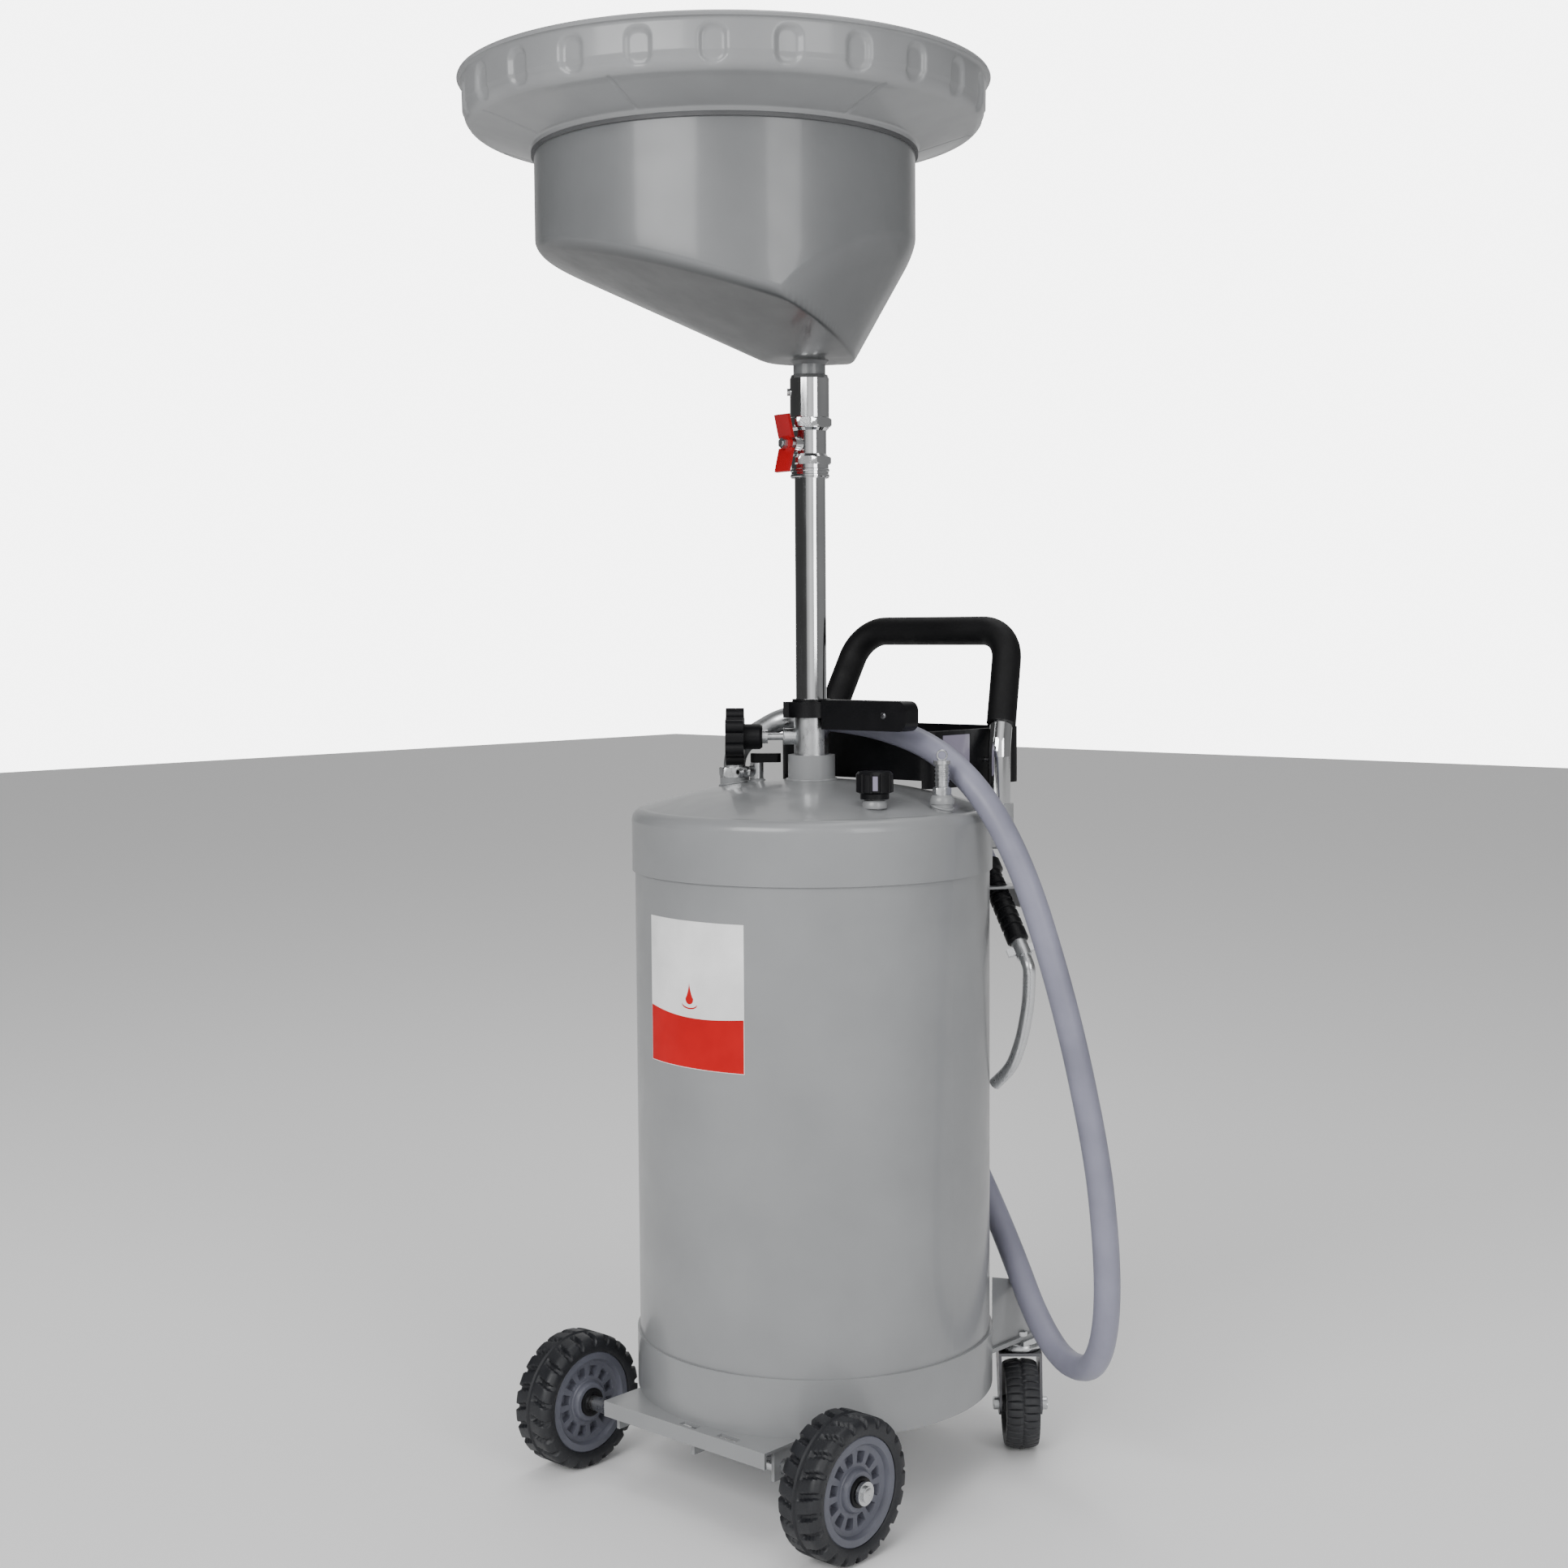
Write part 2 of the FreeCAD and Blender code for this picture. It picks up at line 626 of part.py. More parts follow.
# ------------------------------------------------------------------ handle and tool tray
def handle_line(low):
    """The handle's centre line from leg to leg, with both ends at the given height."""
    lean = math.tan(math.radians(handle_lean.number))
    taper = math.tan(math.radians(handle_taper.number))
    knee, bend = lean_start.number, handle_bend.number

    def spot(side, height):
        rise = max(height - knee, 0)
        return (side * (leg_side.number - rise * taper), leg_back.number + rise * lean, height)

    heights = [low, handle_height.number] if low > knee else [low, knee, handle_height.number]
    points = [spot(-1, height) for height in heights] + [spot(1, height) for height in reversed(heights)]
    return rounded_path(points, [bend] * (len(points) - 2))[0]


def push_handle():
    band = cylinder(tank_radius + band_thick, 200, (0, 0, 600))
    sockets, bolts, holes = [], [], []
    for side in (-1, 1):
        x = leg_side * side
        gusset = box(20, 40, 44, (x - 10, leg_back - 42, socket_foot + 3))
        hole = cylinder(3, 40, (x, leg_back, socket_foot + 25), facing((0, 1, 0)))
        leg_hole = cylinder(leg_radius, 80, (x, leg_back, socket_foot + 4))
        sockets.append(cut(fuse(cylinder(16, 50, (x, leg_back, socket_foot)), gusset), band, leg_hole, hole))
        holes.append(hole)
        bolts.append(fuse(cylinder(3, 12, (x, leg_back + 8, socket_foot + 25), facing((0, 1, 0))),
                          cylinder(6, 4, (x, leg_back + 16, socket_foot + 25), facing((0, 1, 0)))))
    keep(group(*sockets), "handle_sockets")
    keep(group(*bolts), "handle_bolts")
    bar = swept(handle_line(socket_foot.number + 4), leg_radius.number, leg_radius.number - 1.8)
    keep(cut(feature(bar), *holes), "handle_tube")
    foam = swept(handle_line(foam_foot.number), foam_radius.number)
    keep(feature(foam.cut(swept(handle_line(foam_foot.number - 6), leg_radius.number))), "foam_grip")


def tool_tray():
    wall = size(3)
    inside = wall - tray_side
    length, depth = tray_side * 2, tray_back - tray_front
    room_length, room_depth = length - wall * 2, depth - wall * 2
    outer = rounded(box(length, depth, tray_top - tray_foot, (-tray_side, tray_front, tray_foot)),
                    size(18), upright)
    room = rounded(box(room_length, room_depth, 80, (inside, tray_front + wall, tray_floor + wall)),
                   size(15), upright)
    under = rounded(box(room_length, room_depth, tray_floor - tray_foot + 5,
                        (inside, tray_front + wall, tray_foot - 5)), size(15), upright)
    arch = box(length - 26, 60, tray_floor - tray_foot + 5, (13 - tray_side, tray_front - 20, tray_foot - 5))
    walls = [box(2.5, room_depth, 40, (x, tray_front + wall, tray_floor + wall)) for x in (-38, 36)]
    walls.append(box(71.5, 2.5, 36, (-35.5, tray_front + 80, tray_floor + wall)))
    screws, holes = [], []
    for side in (-1, 1):
        outward = facing((side, 0, 0))
        seat = (tray_side - wall - 2.2) * side
        hole = cylinder(2.5, 16, (seat, leg_back, screw_height), outward)
        leg = cylinder(leg_radius, 60, (leg_side * side, leg_back, screw_height - 30))
        head = cylinder(5, 2.2, (seat, leg_back, screw_height), outward)
        screws.append(cut(fuse(head, hole), leg))
        holes.append(hole)
    keep(cut(fuse(cut(outer, room, under, arch), *walls), *holes), "tool_tray")
    keep(group(*screws), "tray_screws")


# ------------------------------------------------------------------ front axle and wheels
def front_axle():
    sheet_metal = 3
    half, depth = 118, 74
    top = tank_foot
    front = -wheel_setback - 32
    deck = box(half * 2, depth, sheet_metal, (-half, front, top - sheet_metal))
    lip = box(half * 2, sheet_metal, 17, (-half, front, top - 17))
    hangers = [box(4, 30, 34, (x - 2, -wheel_setback - 15, top - 35)) for x in (-114, 0, 114)]
    slots = [box(length, 9, 20, (x, front + 4, top - 10)) for x, length in ((-8, 24), (46, 27))]
    rod_hole = cylinder(axle_radius, 500, (-250, -wheel_setback, wheel_radius), ALONG_X)
    keep(cut(fuse(deck, lip, *hangers), *slots, rod_hole), "axle_channel")
    outside = wheel_track / 2 + wheel_width / 2
    reach = outside + 8
    keep(cylinder(axle_radius, reach * 2), "axle_rod", (-reach, -wheel_setback, wheel_radius), ALONG_X)
    collars = [cylinder(12, 4, (x, -wheel_setback, wheel_radius), ALONG_X)
               for x in (outside + 1, -outside - 5)]
    keep(cut(group(*collars), rod_hole), "axle_retainers")


def road_wheel(name, side):
    """Hub and tyre of one front wheel, turned about its own axle, outer face towards +Z."""
    half = wheel_width / 2
    rim = half - 2.5
    at = (wheel_track * (side * 0.5), -wheel_setback, wheel_radius)
    outward = facing((side, 0, 0))
    bore = axle_radius + fit_gap
    hub = turned([(bore, -half), (17, -half), (17, -4), (hub_radius - 6, -4), (hub_radius - 6, -rim),
                  (hub_radius, -rim), (hub_radius, rim), (hub_radius - 6, rim), (hub_radius - 6, 4),
                  (17, 4), (17, half - 6), (bore, half - 6)])
    ribs = []
    for k in range(6):
        rib = box(hub_radius - 22, 4, 34, (14, -2, -17))
        rib_turn = Rotation(UP, 60 * k)
        corner = rib_turn.multVec(Vector(14, -2, 0))
        place(rib, (corner.x, corner.y, -17), rib_turn)
        ribs.append(rib)
    keep(fuse(hub, *ribs), f"hub_{name}", at, outward)
    keep(turned([(hub_radius, -rim), (hub_radius + 3, -half), (wheel_radius - 9, -half, 9),
                 (wheel_radius, 9 - half), (wheel_radius, half - 9, 9), (wheel_radius - 9, half),
                 (hub_radius + 3, half), (hub_radius, rim)]), f"tyre_{name}", at, outward)


# ------------------------------------------------------------------ castors
def castor(name, side):
    """A swivel castor, its wheel trailing forwards; returns its welded bracket and its fixed plate."""
    x, y = castor_side * side, castor_back
    arm_low = castor_plate_top + 7
    deck = box(44, 110, 5, (x - 22, y - 84, arm_low))
    fin = plate([(-84, 0), (25, 0), (25, 12), (-40, 72), (-84, 84)], 4)
    place(fin, (x + side * 16 - 2, y, arm_low + 3), Rotation(Vector(0, 1, 0), UP, Vector(1, 0, 0), "XYZ"))
    bracket = cut(fuse(deck, fin), cylinder(tank_radius + band_thick, 300, (0, 0, 60)))

    crown = castor_plate_top - 13
    fixed_plate = fuse(box(52, 52, 5, (x - 26, y - 26, castor_plate_top + 2)),
                       cylinder(24, 11, (x, y, crown + 4)), cylinder(6, 12, (x, y, crown - 4)),
                       cylinder(8, 3.5, (x, y, crown - 4.2)))

    forward = -BEYOND
    wheel_turn = Rotation(forward, UP, forward.cross(UP), "XYZ")
    half = castor_width / 2 + 2.5
    legs = []
    for low in (half, -half - 3):
        leg = plate([(-24, crown + 3.5), (26, crown + 3.5), (castor_trail + 13, castor_radius, -13),
                     (castor_trail, castor_radius - 13, -13), (castor_trail - 13, castor_radius)], 3)
        place(leg, (0, 0, low))
        legs.append(leg)
    top = box(50, 3.5, half * 2, (-24, crown, -half))
    axle_hole = cylinder(4, 80, (castor_trail, castor_radius, -40))
    pin_hole = cylinder(6 + fit_gap, 30, (0, crown - 10, 0), facing((0, 1, 0)))
    keep(cut(fuse(*legs, top), axle_hole, pin_hole), f"castor_fork_{name}", (x, y, 0), wheel_turn)

    centre = (x + castor_trail * forward.x, y + castor_trail * forward.y, castor_radius)
    across_wheel = castor_width / 2
    keep(turned([(4 + fit_gap, -across_wheel - 1.5), (9, -across_wheel - 1.5), (9, -across_wheel + 5),
                 (castor_radius - 12, -across_wheel + 5), (castor_radius - 10, -across_wheel),
                 (castor_radius - 5, -across_wheel, 38.6), (castor_radius - 5, across_wheel),
                 (castor_radius - 10, across_wheel), (castor_radius - 12, across_wheel - 5),
                 (9, across_wheel - 5), (9, across_wheel + 1.5), (4 + fit_gap, across_wheel + 1.5)]),
         f"castor_wheel_{name}", centre, wheel_turn)
    bolt_half = half + 3
    keep(fuse(cylinder(4, bolt_half * 2, (0, 0, -bolt_half)), cylinder(7.5, 5, (0, 0, bolt_half)),
              cylinder(7.5, 5, (0, 0, -bolt_half - 5))), f"castor_bolt_{name}", centre, wheel_turn)
    return bracket, fixed_plate


# ------------------------------------------------------------------ discharge hose and its nozzle
hose_route = [hose_start, (52, 44, 830), (166, 42, 794), (240, 50, 704), (290, 66, 545), (321, 79, 392),
              (335, 77, 304), (338, 78, 226), (326, 84, 172), (296, 104, 140), (246, 128, 134),
              (194, 152, 166), (150, 172, 220), (104, 190, 274),
              (24, 222, 356), (-66, 226, 446), (-112, 208, 545), (-120, 212, 642), (-97, 222, 692),
              (-50, 230, 722), (6, 224, 728), (58, 209, 706), (93, 195, 662)]
hose_end = Vector(*hose_route[-1])
nozzle_way = (hose_end - Vector(*hose_route[-2])).normalize()


def hose():
    wire, radii = rounded_path(hose_route)
    radius = hose_diameter.number / 2
    tube = swept(wire, radius)
    expected = math.pi * radius ** 2 * wire.Length
    print("hose length", round(wire.Length, 1), "radii", [round(value) for value in radii])
    print("hose volume over section x length", round(tube.Volume / expected, 4))
    keep(feature(tube), "drain_hose")
    first = (Vector(*hose_route[1]) - Vector(*hose_start)).normalize()
    clamp_at = Vector(*hose_start) + first * 4
    keep(tube_ring(hose_diameter / 2, hose_diameter / 2 + 2.2, 0, 11), "hose_clamp", tuple(clamp_at),
         facing(first))


def nozzle():
    turn = facing(nozzle_way)
    ribs = [(16, 0), (16, 12), (grip_radius, 14)]
    for k in range(7):
        step = 20 + 11 * k
        ribs += [(grip_radius, step), (grip_radius - 1.5, step + 1), (grip_radius - 1.5, step + 4),
                 (grip_radius, step + 5)]
    ribs += [(grip_radius, grip_length - 2), (grip_radius - 2, grip_length)]
    keep(turned([(0, 0), *ribs, (0, grip_length)]), "nozzle_grip", tuple(hose_end), turn)

    ferrule_at = hose_end + nozzle_way * grip_length.number
    ears = [box(5, 13, 9, (-2.5, low, 6)) for low in (4, -17)]
    keep(fuse(cylinder(9, 20), *ears), "nozzle_ferrule", tuple(ferrule_at), turn)

    spout_at = ferrule_at + nozzle_way * 20
    spout_line = [tuple(spout_at), tuple(spout_at + nozzle_way * 14), (169, 172, 515), (160, 172, 472),
                  (146, 172, 438), (122, 172, 416)]
    wire, _ = rounded_path(spout_line)
    keep(feature(swept(wire, spout_radius.number, spout_radius.number - 1.4)), "nozzle_spout")

    holder_angle = 60
    shelf = box(48, 52, 2.5, (193, -26, 638.5))
    lip = box(2.5, 52, 24, (238.5, -26, 617))
    root = box(8, 52, 24, (190, -26, 617))
    passage = cylinder(grip_radius + 1, 120, tuple(hose_end - nozzle_way * 5), turn)
    bracket = fuse(shelf, lip, root)
    bracket.Placement = Placement(Vector(0, 0, 0), Rotation(UP, holder_angle))
    keep(cut(bracket, cylinder(tank_radius, 200, (0, 0, 560)), passage), "nozzle_holder")


# ------------------------------------------------------------------ the whole object
def finish():
    doc.recompute()
    bad = [item.Label for item in doc.Objects if {"Invalid", "Error"} & set(item.State)]
    bad += [item.Label for item in sub_parts if item.Shape.isNull() or not item.Shape.isValid()]
    if bad:
        raise RuntimeError(f"failed features: {bad}")
    os.makedirs("parts", exist_ok=True)
    whole = FreeCAD.BoundBox()
    for item in sub_parts:
        item.Shape.exportStep(f"parts/{item.Label}.step")
        whole.add(item.Shape.BoundBox)
    print("nodes", len(sub_parts), "box", [round(v, 2) for v in (whole.XMin, whole.YMin, whole.ZMin,
                                                                  whole.XMax, whole.YMax, whole.ZMax)])


tank()
mast_socket()
clamp_knob()
mast()
drain_valve_handle()
funnel()
discharge_pipe()
top_fittings()
push_handle()
tool_tray()
front_axle()
sides = (("left", -1), ("right", 1))
for side_name, direction in sides:
    road_wheel(side_name, direction)
mountings = [castor(side_name, direction) for side_name, direction in sides]
keep(group(*[bracket for bracket, _ in mountings]), "castor_brackets")
keep(group(*[fixed_plate for _, fixed_plate in mountings]), "castor_plates")
hose()
nozzle()
finish()
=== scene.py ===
"""Looks of the mobile oil drain pan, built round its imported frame. Metres, +Z up, front -Y."""
import json
import math
import bmesh
import bpy
from mathutils import Matrix, Vector


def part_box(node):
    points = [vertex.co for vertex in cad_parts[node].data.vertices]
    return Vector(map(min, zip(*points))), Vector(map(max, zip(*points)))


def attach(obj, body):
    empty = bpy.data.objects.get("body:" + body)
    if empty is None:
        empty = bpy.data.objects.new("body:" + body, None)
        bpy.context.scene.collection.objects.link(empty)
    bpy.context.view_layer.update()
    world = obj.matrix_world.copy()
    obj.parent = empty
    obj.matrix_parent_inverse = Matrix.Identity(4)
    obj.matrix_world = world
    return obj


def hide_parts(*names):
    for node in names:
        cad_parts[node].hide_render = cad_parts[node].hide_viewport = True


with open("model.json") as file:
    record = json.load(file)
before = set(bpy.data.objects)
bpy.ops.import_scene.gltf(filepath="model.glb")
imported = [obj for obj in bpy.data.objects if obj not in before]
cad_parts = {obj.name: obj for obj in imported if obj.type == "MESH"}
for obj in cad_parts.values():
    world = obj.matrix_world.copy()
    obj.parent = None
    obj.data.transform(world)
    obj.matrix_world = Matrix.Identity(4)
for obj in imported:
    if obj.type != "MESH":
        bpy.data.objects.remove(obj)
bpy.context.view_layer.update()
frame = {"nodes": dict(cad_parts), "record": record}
nodes = frame["nodes"]

MM = 0.001
UP = Vector((0, 0, 1))
OFFSET_ANGLE = math.radians(41.2)
ACROSS = Vector((math.cos(OFFSET_ANGLE), math.sin(OFFSET_ANGLE), 0))
BEYOND = Vector((-math.sin(OFFSET_ANGLE), math.cos(OFFSET_ANGLE), 0))


def middle(node):
    low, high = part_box(node)
    return (Vector(low) + Vector(high)) / 2


MAST = middle("mast_tube")
MAST.z = 0


def at_mast(x, y, z):
    """A point given in millimetres from the mast's axis and the floor."""
    return MAST + Vector((x, y, z)) * MM


# ------------------------------------------------------------------ materials
def new_material(name, colour, roughness, metallic=0.0, coat=0.0):
    material = bpy.data.materials.new(name)
    material.use_nodes = True
    shader = material.node_tree.nodes["Principled BSDF"]
    shader.inputs["Base Color"].default_value = (*colour, 1)
    shader.inputs["Roughness"].default_value = roughness
    shader.inputs["Metallic"].default_value = metallic
    shader.inputs["Coat Weight"].default_value = coat
    shader.inputs["Coat Roughness"].default_value = 0.12
    return material


def node(material, kind, **values):
    item = material.node_tree.nodes.new(kind)
    for name, value in values.items():
        if hasattr(item, name):
            setattr(item, name, value)
        else:
            item.inputs[name.replace("_", " ")].default_value = value
    return item


def link(material, source, target):
    material.node_tree.links.new(source, target)


def place_of(material, stretch=(1, 1, 1)):
    """Coordinates in the row frame, stretched along each axis."""
    source = node(material, "ShaderNodeTexCoord")
    mapping = node(material, "ShaderNodeMapping")
    mapping.inputs["Scale"].default_value = stretch
    link(material, source.outputs["Object"], mapping.inputs["Vector"])
    return mapping.outputs["Vector"]


def noise(material, scale, detail=4.0, stretch=(1, 1, 1)):
    item = node(material, "ShaderNodeTexNoise", Scale=scale, Detail=detail)
    link(material, place_of(material, stretch), item.inputs["Vector"])
    return item.outputs["Fac"]


def spread(material, value, low, high, start=0.3, end=0.7):
    """Maps a 0 to 1 value onto low to high."""
    item = node(material, "ShaderNodeMapRange")
    item.inputs["From Min"].default_value = start
    item.inputs["From Max"].default_value = end
    item.inputs["To Min"].default_value = low
    item.inputs["To Max"].default_value = high
    link(material, value, item.inputs["Value"])
    return item.outputs["Result"]


def tint(material, value, first, second):
    """The base colour goes from first to second as value goes from 0 to 1."""
    item = node(material, "ShaderNodeMix", data_type="RGBA")
    item.inputs[6].default_value = (*first, 1)
    item.inputs[7].default_value = (*second, 1)
    link(material, value, item.inputs[0])
    return item.outputs[2]


def bump(material, height, strength, distance):
    item = node(material, "ShaderNodeBump", Strength=strength, Distance=distance)
    link(material, height, item.inputs["Height"])
    link(material, item.outputs["Normal"], shader_of(material).inputs["Normal"])


def shader_of(material):
    return material.node_tree.nodes["Principled BSDF"]


def feed(material, name, value):
    link(material, value, shader_of(material).inputs[name])


def painted(name, colour, roughness=0.32, peel=0.12):
    """Sprayed enamel: faint cloudiness in the colour and an orange-peel surface."""
    material = new_material(name, colour, roughness, coat=0.35)
    lighter = [min(1, c * 1.08) for c in colour]
    darker = [c * 0.93 for c in colour]
    feed(material, "Base Color", tint(material, spread(material, noise(material, 9), 0, 1), darker, lighter))
    feed(material, "Roughness", spread(material, noise(material, 24), roughness - 0.05, roughness + 0.06))
    bump(material, noise(material, 420, 2), peel, 0.0004)
    return material


def painted_underside_shade(material, underside_shade_colour):
    """Painted shade: darkens the base colour where a surface faces the floor, as the shade under it would."""
    facing = node(material, "ShaderNodeNewGeometry")
    upward = node(material, "ShaderNodeSeparateXYZ")
    link(material, facing.outputs["Normal"], upward.inputs[0])
    # painted shade mask: full where the normal points straight down, fading out as it turns to a quarter
    # downward
    shade_amount = spread(material, upward.outputs["Z"], 1, 0, -0.95, -0.25)
    unshaded_colour = shader_of(material).inputs["Base Color"].links[0].from_socket
    mixed = node(material, "ShaderNodeMix", data_type="RGBA")
    mixed.inputs[7].default_value = (*underside_shade_colour, 1)
    link(material, shade_amount, mixed.inputs[0])
    link(material, unshaded_colour, mixed.inputs[6])
    feed(material, "Base Color", mixed.outputs[2])


def bright(name, colour, roughness, streak=(1, 1, 1), spreads=0.06, grain=160):
    """Bare or plated metal with fine drawn or rolled streaks."""
    material = new_material(name, colour, roughness, metallic=1.0)
    marks = noise(material, grain, 6, streak)
    feed(material, "Roughness", spread(material, marks, max(0.03, roughness - spreads), roughness + spreads))
    feed(material, "Base Color", tint(material, spread(material, noise(material, 30), 0, 1),
                                      [c * 0.9 for c in colour], colour))
    bump(material, marks, 0.05, 0.0002)
    return material


def moulded(name, colour, roughness, grain=900, depth=0.25, specular=0.5):
    """Moulded plastic or rubber with a fine texture."""
    material = new_material(name, colour, roughness)
    shader_of(material).inputs["Specular IOR Level"].default_value = specular
    cells = node(material, "ShaderNodeTexVoronoi", Scale=grain)
    link(material, place_of(material), cells.inputs["Vector"])
    feed(material, "Base Color", tint(material, spread(material, noise(material, 14), 0, 1),
                                      [c * 0.85 for c in colour], [min(1, c * 1.15) for c in colour]))
    feed(material, "Roughness", spread(material, noise(material, 60), roughness - 0.07, roughness + 0.08))
    bump(material, cells.outputs["Distance"], depth, 0.0004)
    return material


tank_paint = painted("tank_paint", (0.25, 0.256, 0.262), 0.36, 0.05)
bowl_paint = painted("bowl_paint", (0.16, 0.165, 0.169), 0.36, 0.02)
# Painted shade on the bowl: its down-facing underside is darkened to near black.
painted_underside_shade(bowl_paint, (0.028, 0.03, 0.031))
pan_paint = painted("pan_paint", (0.265, 0.27, 0.276), 0.4, 0.05)
chrome = bright("chrome", (0.86, 0.87, 0.88), 0.07, (1, 1, 0.15), 0.03)
zinc = bright("zinc", (0.62, 0.63, 0.64), 0.3, (1, 1, 0.4), 0.08)
dark_steel = bright("dark_steel", (0.16, 0.16, 0.17), 0.36, (1, 1, 1), 0.08)
black_plastic = moulded("black_plastic", (0.004, 0.004, 0.005), 0.36, 900, 0.2, 0.22)
foam = moulded("foam", (0.0035, 0.0035, 0.004), 0.55, 1500, 0.4, 0.2)
red_enamel = moulded("red_enamel", (0.38, 0.006, 0.01), 0.32, 300, 0.05, 0.3)
tyre_rubber = moulded("tyre_rubber", (0.011, 0.012, 0.015), 0.5, 700)
hub_plastic = moulded("hub_plastic", (0.1, 0.104, 0.13), 0.42)
castor_tread = moulded("castor_tread", (0.02, 0.021, 0.024), 0.5)
seal_rubber = moulded("seal_rubber", (0.085, 0.087, 0.09), 0.6)
hose_skin = moulded("hose_skin", (0.235, 0.235, 0.3), 0.4, 1200, 0.1, 0.4)
label_film = moulded("label_film", (0.88, 0.88, 0.88), 0.45, 400, 0.02, 0.2)
label_red = moulded("label_red", (0.52, 0.003, 0.006), 0.5, 400, 0.02, 0.15)
satin_lilac = painted("satin_lilac", (0.22, 0.2, 0.27), 0.4, 0.02)

FINISHES = {
    "tank_paint": tank_paint, "bowl_paint": bowl_paint, "pan_paint": pan_paint, "chrome_tube": chrome,
    "bright_steel": zinc, "black_plastic": black_plastic, "foam": foam, "red_enamel": red_enamel,
    "tyre_rubber": tyre_rubber, "hub_plastic": hub_plastic, "castor_tread": castor_tread,
    "seal_rubber": seal_rubber, "hose_skin": hose_skin, "label_film": label_film,
}
for part in frame["record"]["subparts"]:
    nodes[part["node"]].data.materials.clear()
    nodes[part["node"]].data.materials.append(FINISHES[part["material_slot"]])
for fork in ("castor_fork_left", "castor_fork_right"):
    nodes[fork].data.materials[0] = dark_steel


# ------------------------------------------------------------------ mesh helpers
def finish_piece(mesh, name, material, body, smooth=40):
    """Turns a bmesh into a named piece that rides on a body."""
    data = bpy.data.meshes.new(name)
    bmesh.ops.recalc_face_normals(mesh, faces=mesh.faces)
    mesh.to_mesh(data)
    mesh.free()
    data.materials.append(material)
    data.shade_smooth()
    data.set_sharp_from_angle(angle=math.radians(smooth))
    piece = bpy.data.objects.new(name, data)
    bpy.context.scene.collection.objects.link(piece)
    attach(piece, body)
    return piece


def frame_at(origin, direction, across=None):
    """The matrix that puts local +Z along a direction at an origin."""
    z = Vector(direction).normalized()
    x = Vector(across) if across is not None else (UP if abs(z.z) < 0.9 else Vector((1, 0, 0)))
    x = (x - z * x.dot(z)).normalized()
    y = z.cross(x)
    matrix = Matrix((x, y, z)).transposed().to_4x4()
    matrix.translation = origin
    return matrix


def lathe(mesh, outline, matrix, steps, reshape=None):
    """Turns a closed outline of (radius, height) in millimetres about local Z; reshape may bend it."""
    rows = []
    for k in range(steps):
        turn = 2 * math.pi * k / steps
        row = []
        for radius, height in outline:
            if reshape is not None:
                radius, height = reshape(radius, height, turn)
            spot = Vector((radius * math.cos(turn), radius * math.sin(turn), height)) * MM
            row.append(mesh.verts.new(matrix @ spot))
        rows.append(row)
    count = len(outline)
    for k in range(steps):
        here, there = rows[k], rows[(k + 1) % steps]
        for i in range(count):
            j = (i + 1) % count
            mesh.faces.new((here[i], there[i], there[j], here[j]))


def smooth_step(value):
    value = max(0.0, min(1.0, value))
    return value * value * (3 - 2 * value)


def between(count, start, end):
    """Evenly spaced values with both ends."""
    return [start + (end - start) * i / (count - 1) for i in range(count)]


# ------------------------------------------------------------------ splash pan
PAN_CENTRE = middle("splash_pan")
PAN_CENTRE.z = 0
PAN_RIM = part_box("splash_pan")[1][2] / MM
PAN_RADIUS = (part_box("splash_pan")[1][0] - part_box("splash_pan")[0][0]) / 2 / MM
BOWL_RADIUS = (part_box("funnel_bowl")[1][0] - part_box("funnel_bowl")[0][0]) / 2 / MM
BOWL_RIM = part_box("funnel_bowl")[1][2] / MM
FLUTES = 24
STEPS_PER_FLUTE = 36
FLUTE_HALF_WIDTH = 15.5
FRONT_TURN = math.atan2(-BEYOND.y, -BEYOND.x)
SEAM_TURNS = [math.radians(angle) for angle in (-65, -22.5, 38, 95, 150, 205, 250)]


def inside_panel(along, up, half_width, half_height, corner):
    """How far a place lies inside a rounded rectangle, negative outside it."""
    dx = abs(along) - (half_width - corner)
    dy = abs(up) - (half_height - corner)
    outside = math.hypot(max(dx, 0), max(dy, 0))
    return corner - outside - min(max(dx, dy), 0)


